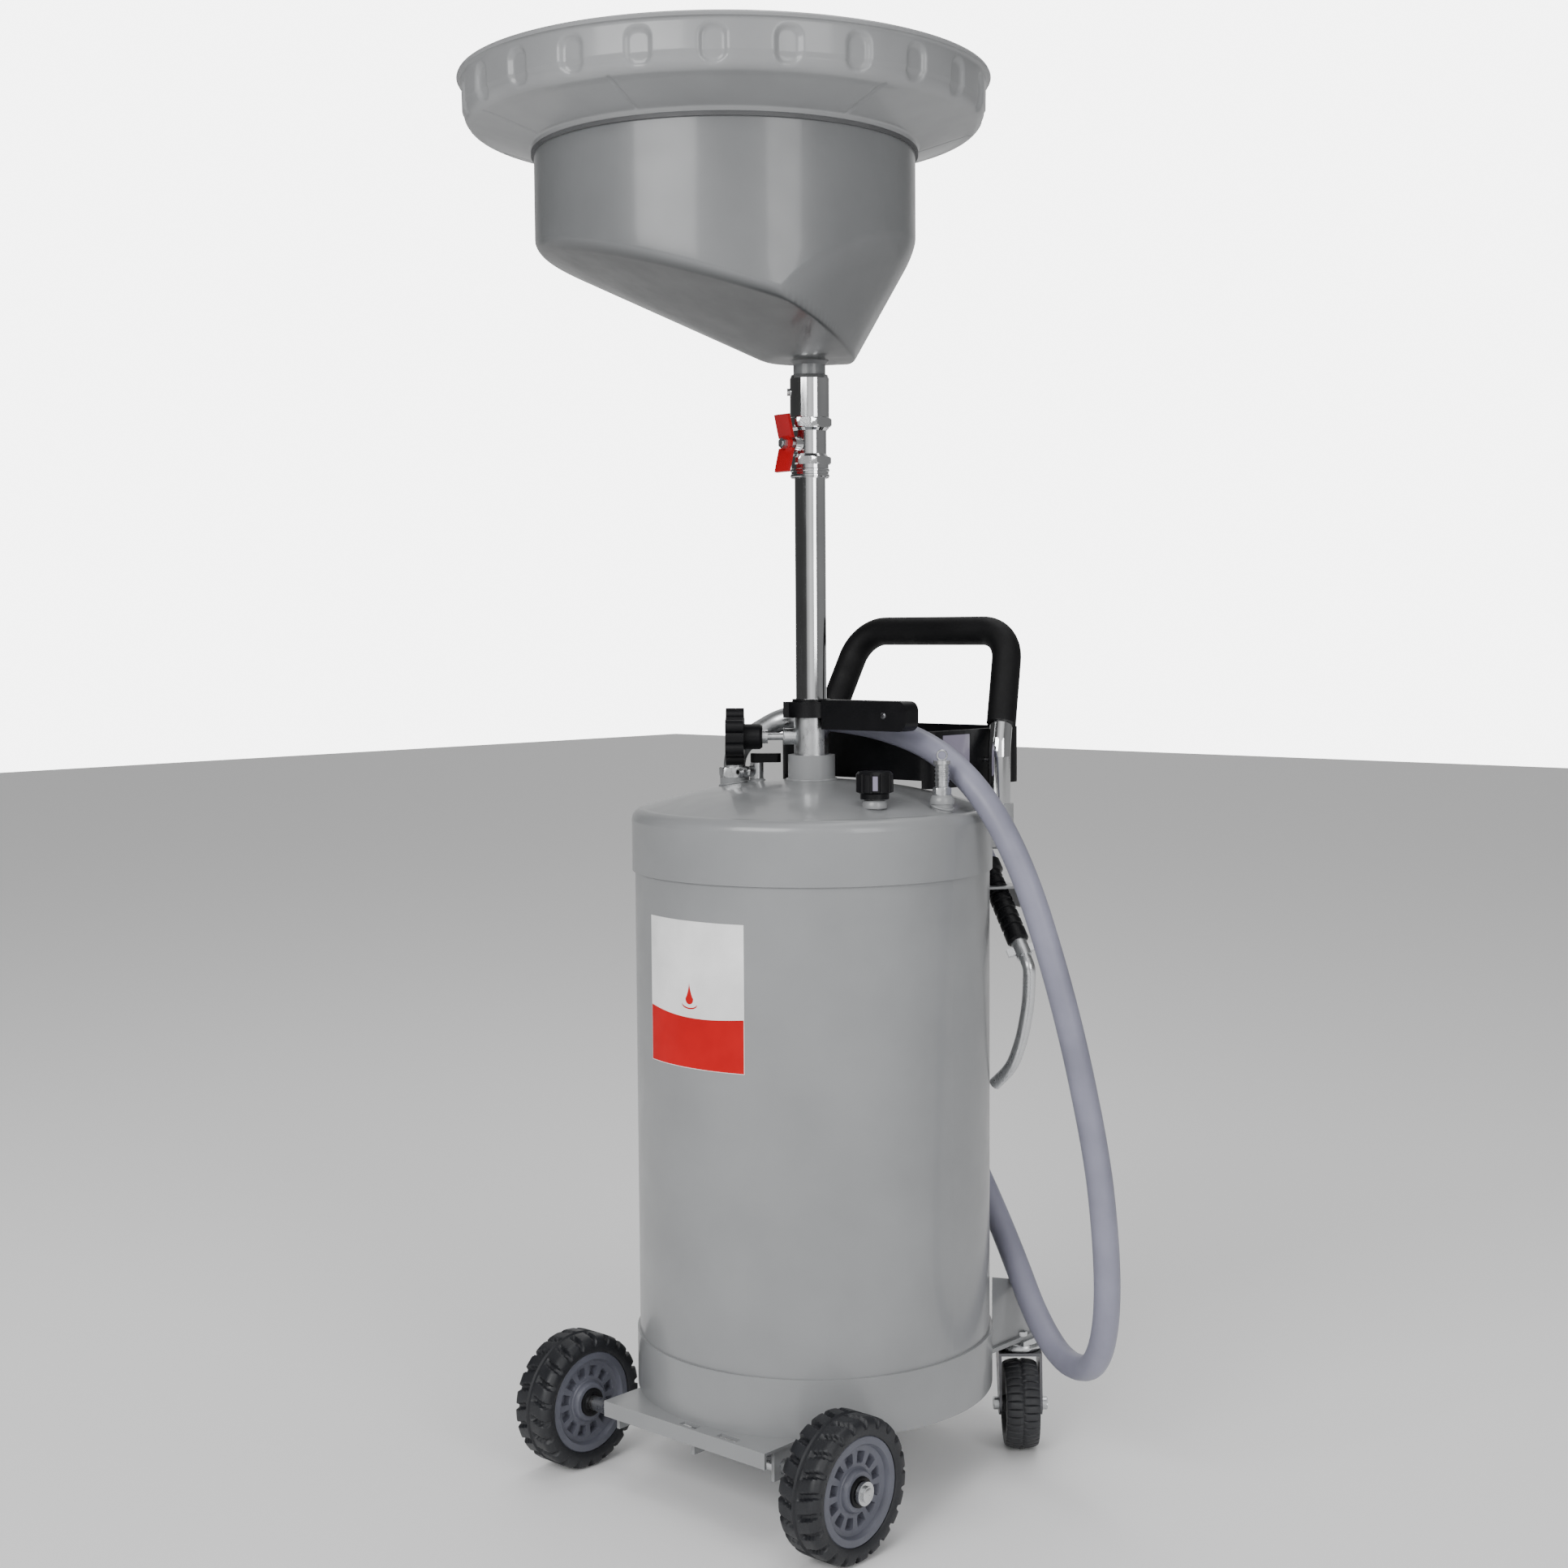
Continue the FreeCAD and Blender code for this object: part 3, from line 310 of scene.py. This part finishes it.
def splash_pan():
    """The pan turned with rounded panels pressed into its wall and creases in its floor."""
    neck, bead = BOWL_RADIUS - 2, BOWL_RADIUS + 2.5
    corner_in, corner_out = PAN_RADIUS - 20.5, PAN_RADIUS - 5.5
    floor_low, floor_high, wall_foot = BOWL_RIM + 9, BOWL_RIM + 28, BOWL_RIM + 42
    outer = [(neck - 2, BOWL_RIM - 16), (neck, BOWL_RIM - 16), (neck, BOWL_RIM + 4), (bead - 1, BOWL_RIM + 4),
             (bead, BOWL_RIM + 5), (bead, BOWL_RIM + 8), (bead + 1.2, BOWL_RIM + 9.4)]
    slope = (floor_high - floor_low) / (corner_in - bead)
    outer += [(radius, floor_low + (radius - bead) * slope) for radius in between(8, bead + 3, corner_in - 2)]
    outer += [(corner_in - 4 + 17.5 * math.sin(turn), floor_high + 15.6 - 17.5 * math.cos(turn))
              for turn in between(9, math.radians(24), math.radians(86))]
    outer += [(corner_out + 0.5 * step, wall_foot + 3 + (PAN_RIM - 10 - wall_foot) * step)
              for step in between(16, 0, 1)]
    lip = [(PAN_RADIUS - 4, PAN_RIM - 5.5), (PAN_RADIUS - 1.2, PAN_RIM - 5), (PAN_RADIUS, PAN_RIM - 2.8),
           (PAN_RADIUS - 0.8, PAN_RIM - 0.8), (PAN_RADIUS - 3, PAN_RIM), (PAN_RADIUS - 6, PAN_RIM - 1),
           (PAN_RADIUS - 7.4, PAN_RIM - 5)]
    inner = [(radius - 1.8, height + 1.6) for radius, height in reversed(outer[7:])]
    inner += [(neck - 2, BOWL_RIM + 9)]
    outline = outer + lip + inner
    panel_low, panel_high = floor_high + 4, PAN_RIM - 10
    pitch = 2 * math.pi * PAN_RADIUS / FLUTES
    middle_height = (panel_low + panel_high) / 2

    def pressed(radius, height, turn):
        from_front = turn - FRONT_TURN
        along = ((from_front / (2 * math.pi) * FLUTES + 0.5) % 1 - 0.5) * pitch
        if radius > corner_in:
            half_height = (panel_high - panel_low) / 2
            depth = inside_panel(along, height - middle_height, FLUTE_HALF_WIDTH, half_height, 13)
            radius -= 4.2 * smooth_step(depth / 6)
        if bead + 2 < radius < corner_in + 4:
            nearest = min(abs((from_front - seam + math.pi) % (2 * math.pi) - math.pi)
                          for seam in SEAM_TURNS)
            height += 1.6 * smooth_step(1.6 - nearest * radius / 1.5)
        return radius, height

    mesh = bmesh.new()
    lathe(mesh, outline, Matrix.Translation(PAN_CENTRE), FLUTES * STEPS_PER_FLUTE, pressed)
    piece = finish_piece(mesh, "splash_pan_pressed", pan_paint, "funnel", 50)
    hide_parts("splash_pan")


# ------------------------------------------------------------------ bowl
BOWL_SHIFT = (MAST - PAN_CENTRE).length / MM
LOW_SIDE = 1338
BESIDE_MAST = 1256
OUTLET = 1221
OUTLET_RADIUS = 49
NOSE_RADIUS = 260
SHEET = 2.0


def blend_max(values, softness):
    top = max(values)
    return top + softness * math.log(sum(math.exp((value - top) / softness) for value in values))


def bowl_floor(side, deep):
    """Height of the bowl's underside, with its creases rounded."""
    low_slope = (LOW_SIDE - OUTLET) / (BOWL_SHIFT + BOWL_RADIUS - OUTLET_RADIUS)
    beside_mast = math.sqrt(BOWL_RADIUS ** 2 - BOWL_SHIFT ** 2)
    side_slope = (BESIDE_MAST - OUTLET) / (beside_mast - OUTLET_RADIUS)
    radius = math.hypot(side, deep)
    slope = side_slope - (low_slope - side_slope) * side / max(radius, 1)
    belly = OUTLET + slope * (radius - OUTLET_RADIUS)
    fall, nose_run = LOW_SIDE - OUTLET, BOWL_RADIUS - BOWL_SHIFT - OUTLET_RADIUS
    sine = fall / math.hypot(nose_run, fall)
    inside = NOSE_RADIUS - math.sqrt(max(0.0, NOSE_RADIUS ** 2 - deep * deep))
    nose = OUTLET + (side - OUTLET_RADIUS + inside / sine) * fall / nose_run
    return blend_max([belly, nose, OUTLET], 1.2)


def bowl():
    """The bowl as a double skin, drawn on rays from the mast's axis out to the round wall."""
    rays, rings = 220, 90
    mesh = bmesh.new()
    corner = 11

    def skin(wall_radius, lift, hole):
        rows = []
        for k in range(rays):
            turn = 2 * math.pi * k / rays
            way = (math.cos(turn), math.sin(turn))
            b = BOWL_SHIFT * way[0]
            reach = -b + math.sqrt(b * b - BOWL_SHIFT ** 2 + wall_radius ** 2)
            row = []
            for i in range(rings):
                share = i / (rings - 1)
                radius = hole + (reach - hole) * (1 - (1 - share) ** 1.5)
                side, deep = radius * way[0], radius * way[1]
                gap = wall_radius - math.hypot(side + BOWL_SHIFT, deep)
                height = bowl_floor(side, deep) + lift
                if gap < corner:
                    height += corner - math.sqrt(max(0.0, corner ** 2 - (corner - gap) ** 2))
                row.append(mesh.verts.new(MAST + (ACROSS * side + BEYOND * deep + UP * height) * MM))
            edge = row[-1].co
            foot = edge.z / MM
            for step in between(9, 0, 1)[1:]:
                spot = Vector((edge.x, edge.y, (foot + (BOWL_RIM - foot) * step) * MM))
                row.append(mesh.verts.new(spot))
            rows.append(row)
        for k in range(rays):
            here, there = rows[k], rows[(k + 1) % rays]
            for i in range(len(here) - 1):
                mesh.faces.new((here[i], here[i + 1], there[i + 1], there[i]))
        return rows

    outside = skin(BOWL_RADIUS, 0, 15)
    inside = skin(BOWL_RADIUS - SHEET, SHEET, 15)
    for k in range(rays):
        n = (k + 1) % rays
        for end in (0, -1):
            mesh.faces.new((outside[k][end], outside[n][end], inside[n][end], inside[k][end]))
    piece = finish_piece(mesh, "funnel_bowl_drawn", bowl_paint, "funnel", 55)
    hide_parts("funnel_bowl")


# ------------------------------------------------------------------ wheels
def wheel_frame(node_name, outward):
    """Local +Z along the axle, away from the tank, with its origin in the middle of the wheel."""
    return frame_at(middle(node_name), outward)


def tyre(side, outward):
    """A chunky tyre: two staggered rows of lugs that wrap over the shoulders."""
    radius, width, hub = 74.0, 51.0, 55.7
    half = width / 2
    lugs, steps = 22, 14
    profile = [(hub, -half + 2.5), (hub + 3, -half + 0.5), (hub + 7, -half)]
    profile += [(radius - 9 + 9 * math.sin(turn), -half + 9 - 9 * math.cos(turn))
                for turn in between(7, math.radians(10), math.radians(90))]
    profile += [(radius, height) for height in between(9, -half + 11, -1.5)]
    profile += [(radius, height) for height in between(9, 1.5, half - 11)]
    profile += [(radius - 9 + 9 * math.cos(turn), half - 9 + 9 * math.sin(turn))
                for turn in between(7, 0, math.radians(80))]
    profile += [(hub + 7, half), (hub + 3, half - 0.5), (hub, half - 2.5)]

    def cut_tread(r, h, turn):
        if r < radius - 8.6:
            return r, h
        phase = turn / (2 * math.pi) * lugs
        phase += 0.5 if h > 0 else 0.0
        phase += abs(h) / half * 0.35
        phase %= 1
        groove = smooth_step((0.36 - abs(phase - 0.5) * 2) / 0.16)
        middle_line = smooth_step((2.2 - abs(h)) / 1.2)
        depth = max(groove * smooth_step((abs(h) - 3) / 4), middle_line * 0.6)
        return r - 4.6 * depth, h

    mesh = bmesh.new()
    lathe(mesh, profile, wheel_frame(f"tyre_{side}", outward), lugs * steps, cut_tread)
    piece = finish_piece(mesh, f"tyre_{side}_treaded", tyre_rubber, f"wheel_{side}", 38)
    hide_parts(f"tyre_{side}")


def hub(side, outward):
    """A moulded hub, the same on both faces: flat rim, ring of pockets, raised boss, black bush."""
    pockets, steps = 12, 16
    face = [(8.05, 21), (10, 22.5), (20, 22.5), (21.5, 21), (22.5, 17), (24, 16), (27, 16), (28, 16),
            (29, 16), (33, 16), (37, 16), (38.5, 16), (39.5, 16), (43, 16.5), (45, 17.5), (46, 20.5),
            (47.5, 22.6), (54.5, 22.8), (55.7, 21.6)]
    back = [(radius, -height) for radius, height in reversed(face)]

    def pocket(r, h, turn):
        if 28 <= r <= 38.6:
            phase = abs((turn / (2 * math.pi) * pockets) % 1 - 0.5) * 2
            sink = smooth_step((0.62 - phase) / 0.14)
            sink *= 1 if 29 <= r <= 37.5 else 0.15
            h -= math.copysign(8 * sink, h)
        return r, h

    mesh = bmesh.new()
    lathe(mesh, face + back, wheel_frame(f"tyre_{side}", outward), pockets * steps, pocket)
    piece = finish_piece(mesh, f"hub_{side}_moulded", hub_plastic, f"wheel_{side}", 32)
    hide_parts(f"hub_{side}")
    for face_name, way in (("outer", outward), ("inner", -outward)):
        bush = [(8.3, 22.4), (8.3, 24.6), (9.4, 25.4), (14, 25.4), (15.4, 24.6), (15.8, 22.4)]
        turned_piece(f"hub_{side}_bush_{face_name}", bush, wheel_frame(f"tyre_{side}", way), black_plastic,
                     f"wheel_{side}", 48)


def castor_wheel(side):
    """A castor wheel with a ribbed tread, a web and a centre boss."""
    radius, half = 49.8, 19.0
    centre = middle(f"castor_wheel_{side}")
    lugs, steps = 34, 8
    profile = [(4.1, -half - 1.4), (9, -half - 1.4), (10, -half + 3), (33, -half + 5), (37, -half + 1),
               (40, -half)]
    profile += [(radius - 5 + 5 * math.sqrt(1 - (height / half) ** 2), height)
                for height in between(15, -half * 0.98, half * 0.98)]
    profile += [(40, half), (37, half - 1), (33, half - 5), (10, half - 3), (9, half + 1.4),
                (4.1, half + 1.4)]

    def rib(r, h, turn):
        if r < radius - 4.4 or abs(h) > half - 1:
            return r, h
        phase = (turn / (2 * math.pi) * lugs + (0.5 if h > 0 else 0)) % 1
        groove = smooth_step((0.3 - abs(phase - 0.5) * 2) / 0.2) * smooth_step((abs(h) - 1) / 2)
        groove = max(groove, smooth_step((1.4 - abs(h)) / 0.8))
        return r - 1.8 * groove, h

    mesh = bmesh.new()
    lathe(mesh, profile, frame_at(centre, ACROSS), lugs * steps, rib)
    piece = finish_piece(mesh, f"castor_wheel_{side}_ribbed", castor_tread, f"castor_wheel_{side}",
                         38)
    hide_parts(f"castor_wheel_{side}")


# ------------------------------------------------------------------ small fittings
KNOB_HEIGHT = 814
CAP_SPOT = (141, -62)
RELIEF_SPOT = (174, 9)
AIR_SPOT = (-71, -12)
PIPE_SPOT = (-105, -12)
CASTOR_PIVOT = (136, 199)


def turned_piece(name, outline, matrix, material, body, steps=64, reshape=None, smooth=40):
    mesh = bmesh.new()
    lathe(mesh, outline, matrix, steps, reshape)
    return finish_piece(mesh, name, material, body, smooth)


def hexagon(name, across_flats, thickness, matrix, material, body, hole=0.0):
    """A hexagon nut or head with chamfered corners; the hole is only shallow when it is zero."""
    reach = across_flats / math.sqrt(3)
    outline = [(max(hole, 0.4), 0), (reach * 0.93, 0), (reach, thickness * 0.16), (reach, thickness * 0.84),
               (reach * 0.93, thickness), (max(hole, 0.4), thickness)]

    def flats(radius, height, turn):
        if radius <= hole + 0.5:
            return radius, height
        sector = (turn + math.pi / 6) % (math.pi / 3) - math.pi / 6
        return min(radius, across_flats / 2 / math.cos(sector)), height

    return turned_piece(name, outline, matrix, material, body, 72, flats, 25)


def thread(start, end, radius, pitch=1.25, depth=0.5):
    """Outline points of a thread's ridges along local Z."""
    points = []
    count = max(1, int((end - start) / pitch))
    for k in range(count):
        at = start + k * pitch
        points += [(radius - depth, at), (radius, at + pitch * 0.5)]
    return points + [(radius - depth, start + count * pitch)]


def weld_bead(name, radius, matrix, body, thickness=2.2, steps=150):
    """A rippled fillet of weld round a boss or a seam."""
    outline = [(radius - thickness * 0.2 + thickness * math.cos(turn), thickness * math.sin(turn) * 0.8)
               for turn in between(10, 0, math.radians(324))]

    def ripple(r, h, turn):
        wave = math.sin(turn * radius / 1.6) * 0.22 + math.sin(turn * 7.3) * 0.12
        return r + wave * (1 if r > radius else 0.3), h + wave * 0.4

    return turned_piece(name, outline, matrix, tank_paint, body, steps, ripple, 80)


def mast_fittings():
    stud = frame_at(at_mast(0, 0, KNOB_HEIGHT), -ACROSS)
    turned_piece("clamp_stud_thread", [(0.4, 31), *thread(31, 48, 4.05, 1.4, 0.6), (0.4, 48.2)], stud,
                 zinc, "clamp_knob", 40)
    turned_piece("clamp_stud_flange", [(4, 29.2), (9, 29.2), (9.6, 30), (9, 31), (4, 31)], stud, zinc,
                 "clamp_knob", 48)
    weld_bead("collar_weld", 26.6, Matrix.Translation(at_mast(0, 0, 766.6)), "root", 2.4)
    grip_screw = frame_at(at_mast(111, -11, 839), Vector((0, -1, 0)))
    head = [(0.4, -1), (3.6, -1), (3.6, 0.4), (2.8, 1.2), (1.6, 1.4), (1.4, 0.5), (0.4, 0.5)]
    turned_piece("grip_screw_head", head, grip_screw, dark_steel, "root", 40)
    axis = Matrix.Translation(MAST)
    for name, across_flats, thickness, height in (("low", 41, 8.5, 1109.5), ("high", 42.4, 9.5, 1150)):
        hexagon(f"valve_hex_{name}", across_flats, thickness, axis @ Matrix.Translation(UP * height * MM),
                chrome, "mast", 20)
    for k, height in enumerate((1097.5, 1103.5)):
        band = [(20.3, height - 1.8), (21.4, height - 1), (21.4, height + 1), (20.3, height + 1.8)]
        turned_piece(f"coupling_band_{k}", band, axis, chrome, "mast", 96)


def tank_fittings():
    for name, spot, radius, height in (("cap", CAP_SPOT, 9.6, 749), ("relief", RELIEF_SPOT, 11.6, 744.5),
                                       ("air", AIR_SPOT, 8.6, 762.6), ("pipe", PIPE_SPOT, 17.2, 758.2)):
        place = at_mast(*spot, height)
        lean = Vector((spot[0], spot[1], 640)).normalized()
        weld_bead(f"{name}_boss_weld", radius, frame_at(place, lean), "root", 1.8, 110)
    bead = [(8.2, 0), (12.6, 1.5), (13, 6), (11, 9.5), (8.2, 10)]
    for name, spot, height in (("cap", CAP_SPOT, 744.5), ("relief", RELIEF_SPOT, 746)):
        turned_piece(f"{name}_boss_bead", bead, Matrix.Translation(at_mast(*spot, height)), tank_paint,
                     "root", 64)
    section = [(5.2 + 0.9 * math.cos(turn), 0.9 * math.sin(turn)) for turn in between(9, 0, 5.6)]
    turned_piece("relief_ring", section, frame_at(at_mast(*RELIEF_SPOT, 798.5), BEYOND), zinc, "root",
                 40)
    body = Matrix.Translation(at_mast(*RELIEF_SPOT, 0))
    hexagon("relief_hex", 17.4, 7, body @ Matrix.Translation(Vector((0, 0, 757.4)) * MM), zinc, "root",
            5)
    for k in range(4):
        low = 770 + 4.2 * k
        turned_piece(f"relief_groove_{k}", [(6.9, low), (7.7, low + 0.5), (7.7, low + 2.1), (6.9, low + 2.6)],
                     body, zinc, "root", 48)
    pipe = Matrix.Translation(at_mast(*PIPE_SPOT, 0))
    hexagon("pipe_nut", 31, 11, pipe @ Matrix.Translation(Vector((0, 0, 766)) * MM), zinc, "root",
            12.6)


def film(name, columns):
    """A red print on the label, in columns of (distance round the tank, low, high) in millimetres."""
    mesh = bmesh.new()
    face = MAST.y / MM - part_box("label_plate")[0][1] / MM
    rows = []
    for along, low, high in columns:
        turn = along / face
        row = []
        for radius in (face - 0.05, face + 0.12):
            for height in (low, high):
                spot = Vector((radius * math.sin(turn), -radius * math.cos(turn), height)) * MM
                row.append(mesh.verts.new(MAST + spot))
        rows.append(row)
    for here, there in zip(rows, rows[1:]):
        for a, b in ((0, 1), (1, 3), (3, 2), (2, 0)):
            mesh.faces.new((here[a], here[b], there[b], there[a]))
    for row in (rows[0], rows[-1]):
        mesh.faces.new((row[0], row[1], row[3], row[2]))
    finish_piece(mesh, name, label_red, "root", 30)


def label_print():
    """A red lower part with a sagging upper edge, and above it a drop over an open ring."""
    margin, arc_to_chord = 0.6, 1.021
    corner_low, corner_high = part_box("label_plate")
    low = corner_low[2] / MM
    height = corner_high[2] / MM - low
    half = (corner_high[0] - corner_low[0]) / 2 / MM * arc_to_chord - margin
    panel = []
    for along in between(33, -half, half):
        dip = math.cos(along / half * math.pi / 2) * 0.03 * height
        panel.append((along, low + margin, low + 0.375 * height - dip - 0.01 * height * along / half))
    film("label_red_panel", panel)
    bulb, drop_foot = 5.6, low + 0.435 * height
    drop = []
    for along in between(25, -bulb * 0.995, bulb * 0.995):
        reach = math.sqrt(bulb * bulb - along * along)
        top = 17 * (1 - (abs(along) / bulb) ** 0.72) ** 1.15
        drop.append((along, drop_foot - reach + bulb, drop_foot + bulb + max(top, reach * 0.6)))
    film("label_drop", drop)
    reach, rise, ring_middle = 11.0, 5.0, drop_foot + 1
    ring = []
    for along in between(25, -reach * 0.98, reach * 0.98):
        dip = rise * math.sqrt(1 - (along / reach) ** 2)
        ring.append((along, ring_middle - dip - 1, ring_middle - dip + 0.6))
    film("label_ring", ring)


def strip(name, low, high, matrix, material, body):
    """A thin plate between two corners given in millimetres, with its edges eased."""
    mesh = bmesh.new()
    bmesh.ops.create_cube(mesh, size=1)
    low, high = Vector(low), Vector(high)
    for corner in mesh.verts:
        share = corner.co + Vector((0.5, 0.5, 0.5))
        corner.co = matrix @ Vector([(a + (b - a) * f) * MM for a, b, f in zip(low, high, share)])
    bmesh.ops.bevel(mesh, geom=mesh.edges[:], offset=0.15 * MM, segments=2, affect="EDGES")
    finish_piece(mesh, name, material, body, 30)


def plain_panels():
    """The lilac panel on the tray's right-hand side, and a light strip down the cap that is a painted
    highlight.
    """
    tray_low, tray_high = (Vector(corner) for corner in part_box("tool_tray"))
    foot = Matrix.Translation(Vector((tray_high.x, tray_low.y, tray_low.z)))
    strip("tray_panel", (-0.1, 22, 9), (0.4, 70, 58), foot, satin_lilac, "root")
    cap = Matrix.Translation(at_mast(*CAP_SPOT, 0)) @ Matrix.Rotation(OFFSET_ANGLE, 4, "Z")
    # A light plate down the black cap's front: a painted highlight.
    strip("cap_painted_highlight", (-2.6, -19.9, 765), (2.6, -18.6, 780), cap, satin_lilac, "pressure_cap")


def wheel_ends():
    for side, outward in (("left", -1), ("right", 1)):
        way = Vector((outward, 0, 0))
        centre = middle(f"tyre_{side}")
        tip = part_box("axle_rod")[(outward + 1) // 2][0]
        end = frame_at(Vector((tip, centre.y, centre.z)), way)
        dome = [(0.4, -1.5), (7.9, -1.5), (7.9, -0.6), (6.2, 0.4), (3, 1), (0.4, 1.1)]
        turned_piece(f"axle_cap_{side}", dome, end, zinc, "root", 40)


def castor_fittings():
    for side in ("left", "right"):
        centre = middle(f"castor_wheel_{side}")
        for k, way in enumerate((ACROSS, -ACROSS)):
            at = frame_at(centre + way * 24.5 * MM, way)
            hexagon(f"castor_nut_{side}_{k}", 13, 6.2, at, zinc, f"castor_{side}", 4)
        sign = -1 if side == "left" else 1
        pivot = at_mast(sign * CASTOR_PIVOT[0], CASTOR_PIVOT[1], 0)
        race = [(20, 108.8), (25.6, 109.4), (26.6, 111.5), (26.6, 114), (25, 116.6), (20, 117)]
        turned_piece(f"castor_race_{side}", race, Matrix.Translation(pivot), zinc, "root", 64)
        for x in (-19, 19):
            for y in (-19, 19):
                spot = pivot + Vector((x, y, 130)) * MM
                hexagon(f"castor_bolt_{side}_{x}_{y}".replace("-", "m"), 10, 5, frame_at(spot, UP), zinc,
                        "root", 3)


# ------------------------------------------------------------------ hose
HOSE_ROUTE = [(-24, 39, 832), (52, 44, 830), (166, 42, 794), (240, 50, 704), (290, 66, 545), (321, 79, 392),
              (335, 77, 304), (338, 78, 226), (326, 84, 172), (296, 104, 140), (246, 128, 134),
              (194, 152, 166), (150, 172, 220), (104, 190, 274), (24, 222, 356), (-66, 226, 446),
              (-112, 208, 545), (-120, 212, 642), (-97, 222, 692), (-50, 230, 722), (6, 224, 728),
              (58, 209, 706), (93, 195, 662)]
HOSE_DIAMETER = 0.028


def hose():
    curve = bpy.data.curves.new("drain_hose_line", "CURVE")
    curve.dimensions = "3D"
    spline = curve.splines.new("NURBS")
    spline.points.add(len(HOSE_ROUTE) - 1)
    for point, spot in zip(spline.points, HOSE_ROUTE):
        point.co = (*at_mast(*spot), 1)
    spline.order_u = 3
    spline.use_endpoint_u = True
    spline.resolution_u = 24
    curve.bevel_depth = HOSE_DIAMETER / 2
    curve.bevel_resolution = 8
    curve.use_fill_caps = True
    curve.materials.append(hose_skin)
    piece = bpy.data.objects.new("drain_hose_rubber", curve)
    bpy.context.scene.collection.objects.link(piece)
    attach(piece, "root")
    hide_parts("drain_hose")


splash_pan()
bowl()
label_print()
plain_panels()
for side_name, outward_sign in (("left", -1), ("right", 1)):
    tyre(side_name, Vector((outward_sign, 0, 0)))
    hub(side_name, Vector((outward_sign, 0, 0)))
    castor_wheel(side_name)
mast_fittings()
tank_fittings()
wheel_ends()
castor_fittings()
hose()

floor = bpy.data.meshes.new("floor")
shape = bmesh.new()
bmesh.ops.create_grid(shape, x_segments=1, y_segments=1, size=12)
shape.to_mesh(floor)
shape.free()
ground = bpy.data.objects.new("floor", floor)
bpy.context.scene.collection.objects.link(ground)
floor.materials.append(new_material("floor", (0.93, 0.93, 0.93), 0.6))

# ------------------------------------------------------------------ light and camera
world = bpy.data.worlds.new("studio")
bpy.context.scene.world = world
world.use_nodes = True
backdrop = world.node_tree.nodes["Background"]
backdrop.inputs["Strength"].default_value = 1.0
direction = node(world, "ShaderNodeTexCoord")
sideways = node(world, "ShaderNodeVectorMath", operation="DOT_PRODUCT")
sideways.inputs[1].default_value = ACROSS
link(world, direction.outputs["Generated"], sideways.inputs[0])
shade = node(world, "ShaderNodeValToRGB")
shade.color_ramp.interpolation = "EASE"
STUDIO_SIDES = [(0.0, 0.05), (0.2, 0.06), (0.33, 0.5), (0.5, 0.9), (0.68, 0.75), (0.8, 0.16), (1.0, 0.22)]
while len(shade.color_ramp.elements) < len(STUDIO_SIDES):
    shade.color_ramp.elements.new(0.5)
for element, (place, level) in zip(shade.color_ramp.elements, STUDIO_SIDES):
    element.position = place
    element.color = (level, level, level, 1)
link(world, spread(world, sideways.outputs["Value"], 0, 1, -1, 1), shade.inputs["Fac"])
seen = node(world, "ShaderNodeLightPath")
sky = node(world, "ShaderNodeMix", data_type="RGBA")
sky.inputs[7].default_value = (6, 6, 6, 1)
link(world, seen.outputs["Is Camera Ray"], sky.inputs[0])
link(world, shade.outputs["Color"], sky.inputs[6])
link(world, sky.outputs[2], backdrop.inputs["Color"])


def softbox(name, at, aim, width, height, power):
    data = bpy.data.lights.new(name, "AREA")
    data.shape = "RECTANGLE"
    data.size = width
    data.size_y = height
    data.energy = power
    lamp = bpy.data.objects.new(name, data)
    bpy.context.scene.collection.objects.link(lamp)
    lamp.location = at
    lamp.rotation_mode = "QUATERNION"
    lamp.rotation_quaternion = (Vector(aim) - Vector(at)).to_track_quat("-Z", "Y")


softbox("key", (0.6, -4.0, 2.7), (0, 0, 0.9), 2.8, 2.2, 150)
softbox("fill", (3.9, -0.9, 1.9), (0, 0, 0.8), 1.4, 2.2, 50)
softbox("top", (0, 0.3, 4.0), (0, 0, 0), 2.5, 2.5, 45)

CAMERA_DISTANCE = 2.4119
CAMERA_HEIGHT = 0.9342
VIEW_AZIMUTH = math.radians(41.23454)
YAW = math.radians(0.72704)
PITCH = math.radians(4.22134)
ROLL = math.radians(-0.39244)
side_way = Vector((math.cos(VIEW_AZIMUTH), math.sin(VIEW_AZIMUTH), 0))
deep_way = Vector((-math.sin(VIEW_AZIMUTH), math.cos(VIEW_AZIMUTH), 0))
level_right = side_way * math.cos(YAW) + deep_way * math.sin(YAW)
level_ahead = deep_way * math.cos(YAW) - side_way * math.sin(YAW)
ahead = level_ahead * math.cos(PITCH) - UP * math.sin(PITCH)
above = level_ahead * math.sin(PITCH) + UP * math.cos(PITCH)
right = level_right * math.cos(ROLL) + above * math.sin(ROLL)
above = above * math.cos(ROLL) - level_right * math.sin(ROLL)
camera = bpy.data.objects.new("camera", bpy.data.cameras.new("camera"))
bpy.context.scene.collection.objects.link(camera)
pose = Matrix((right, above, -ahead)).transposed().to_4x4()
pose.translation = MAST - deep_way * CAMERA_DISTANCE + UP * CAMERA_HEIGHT
camera.matrix_world = pose
camera.data.lens = 50.445
camera.data.sensor_width = 36
camera.data.shift_y = 0.0031
bpy.context.scene.camera = camera
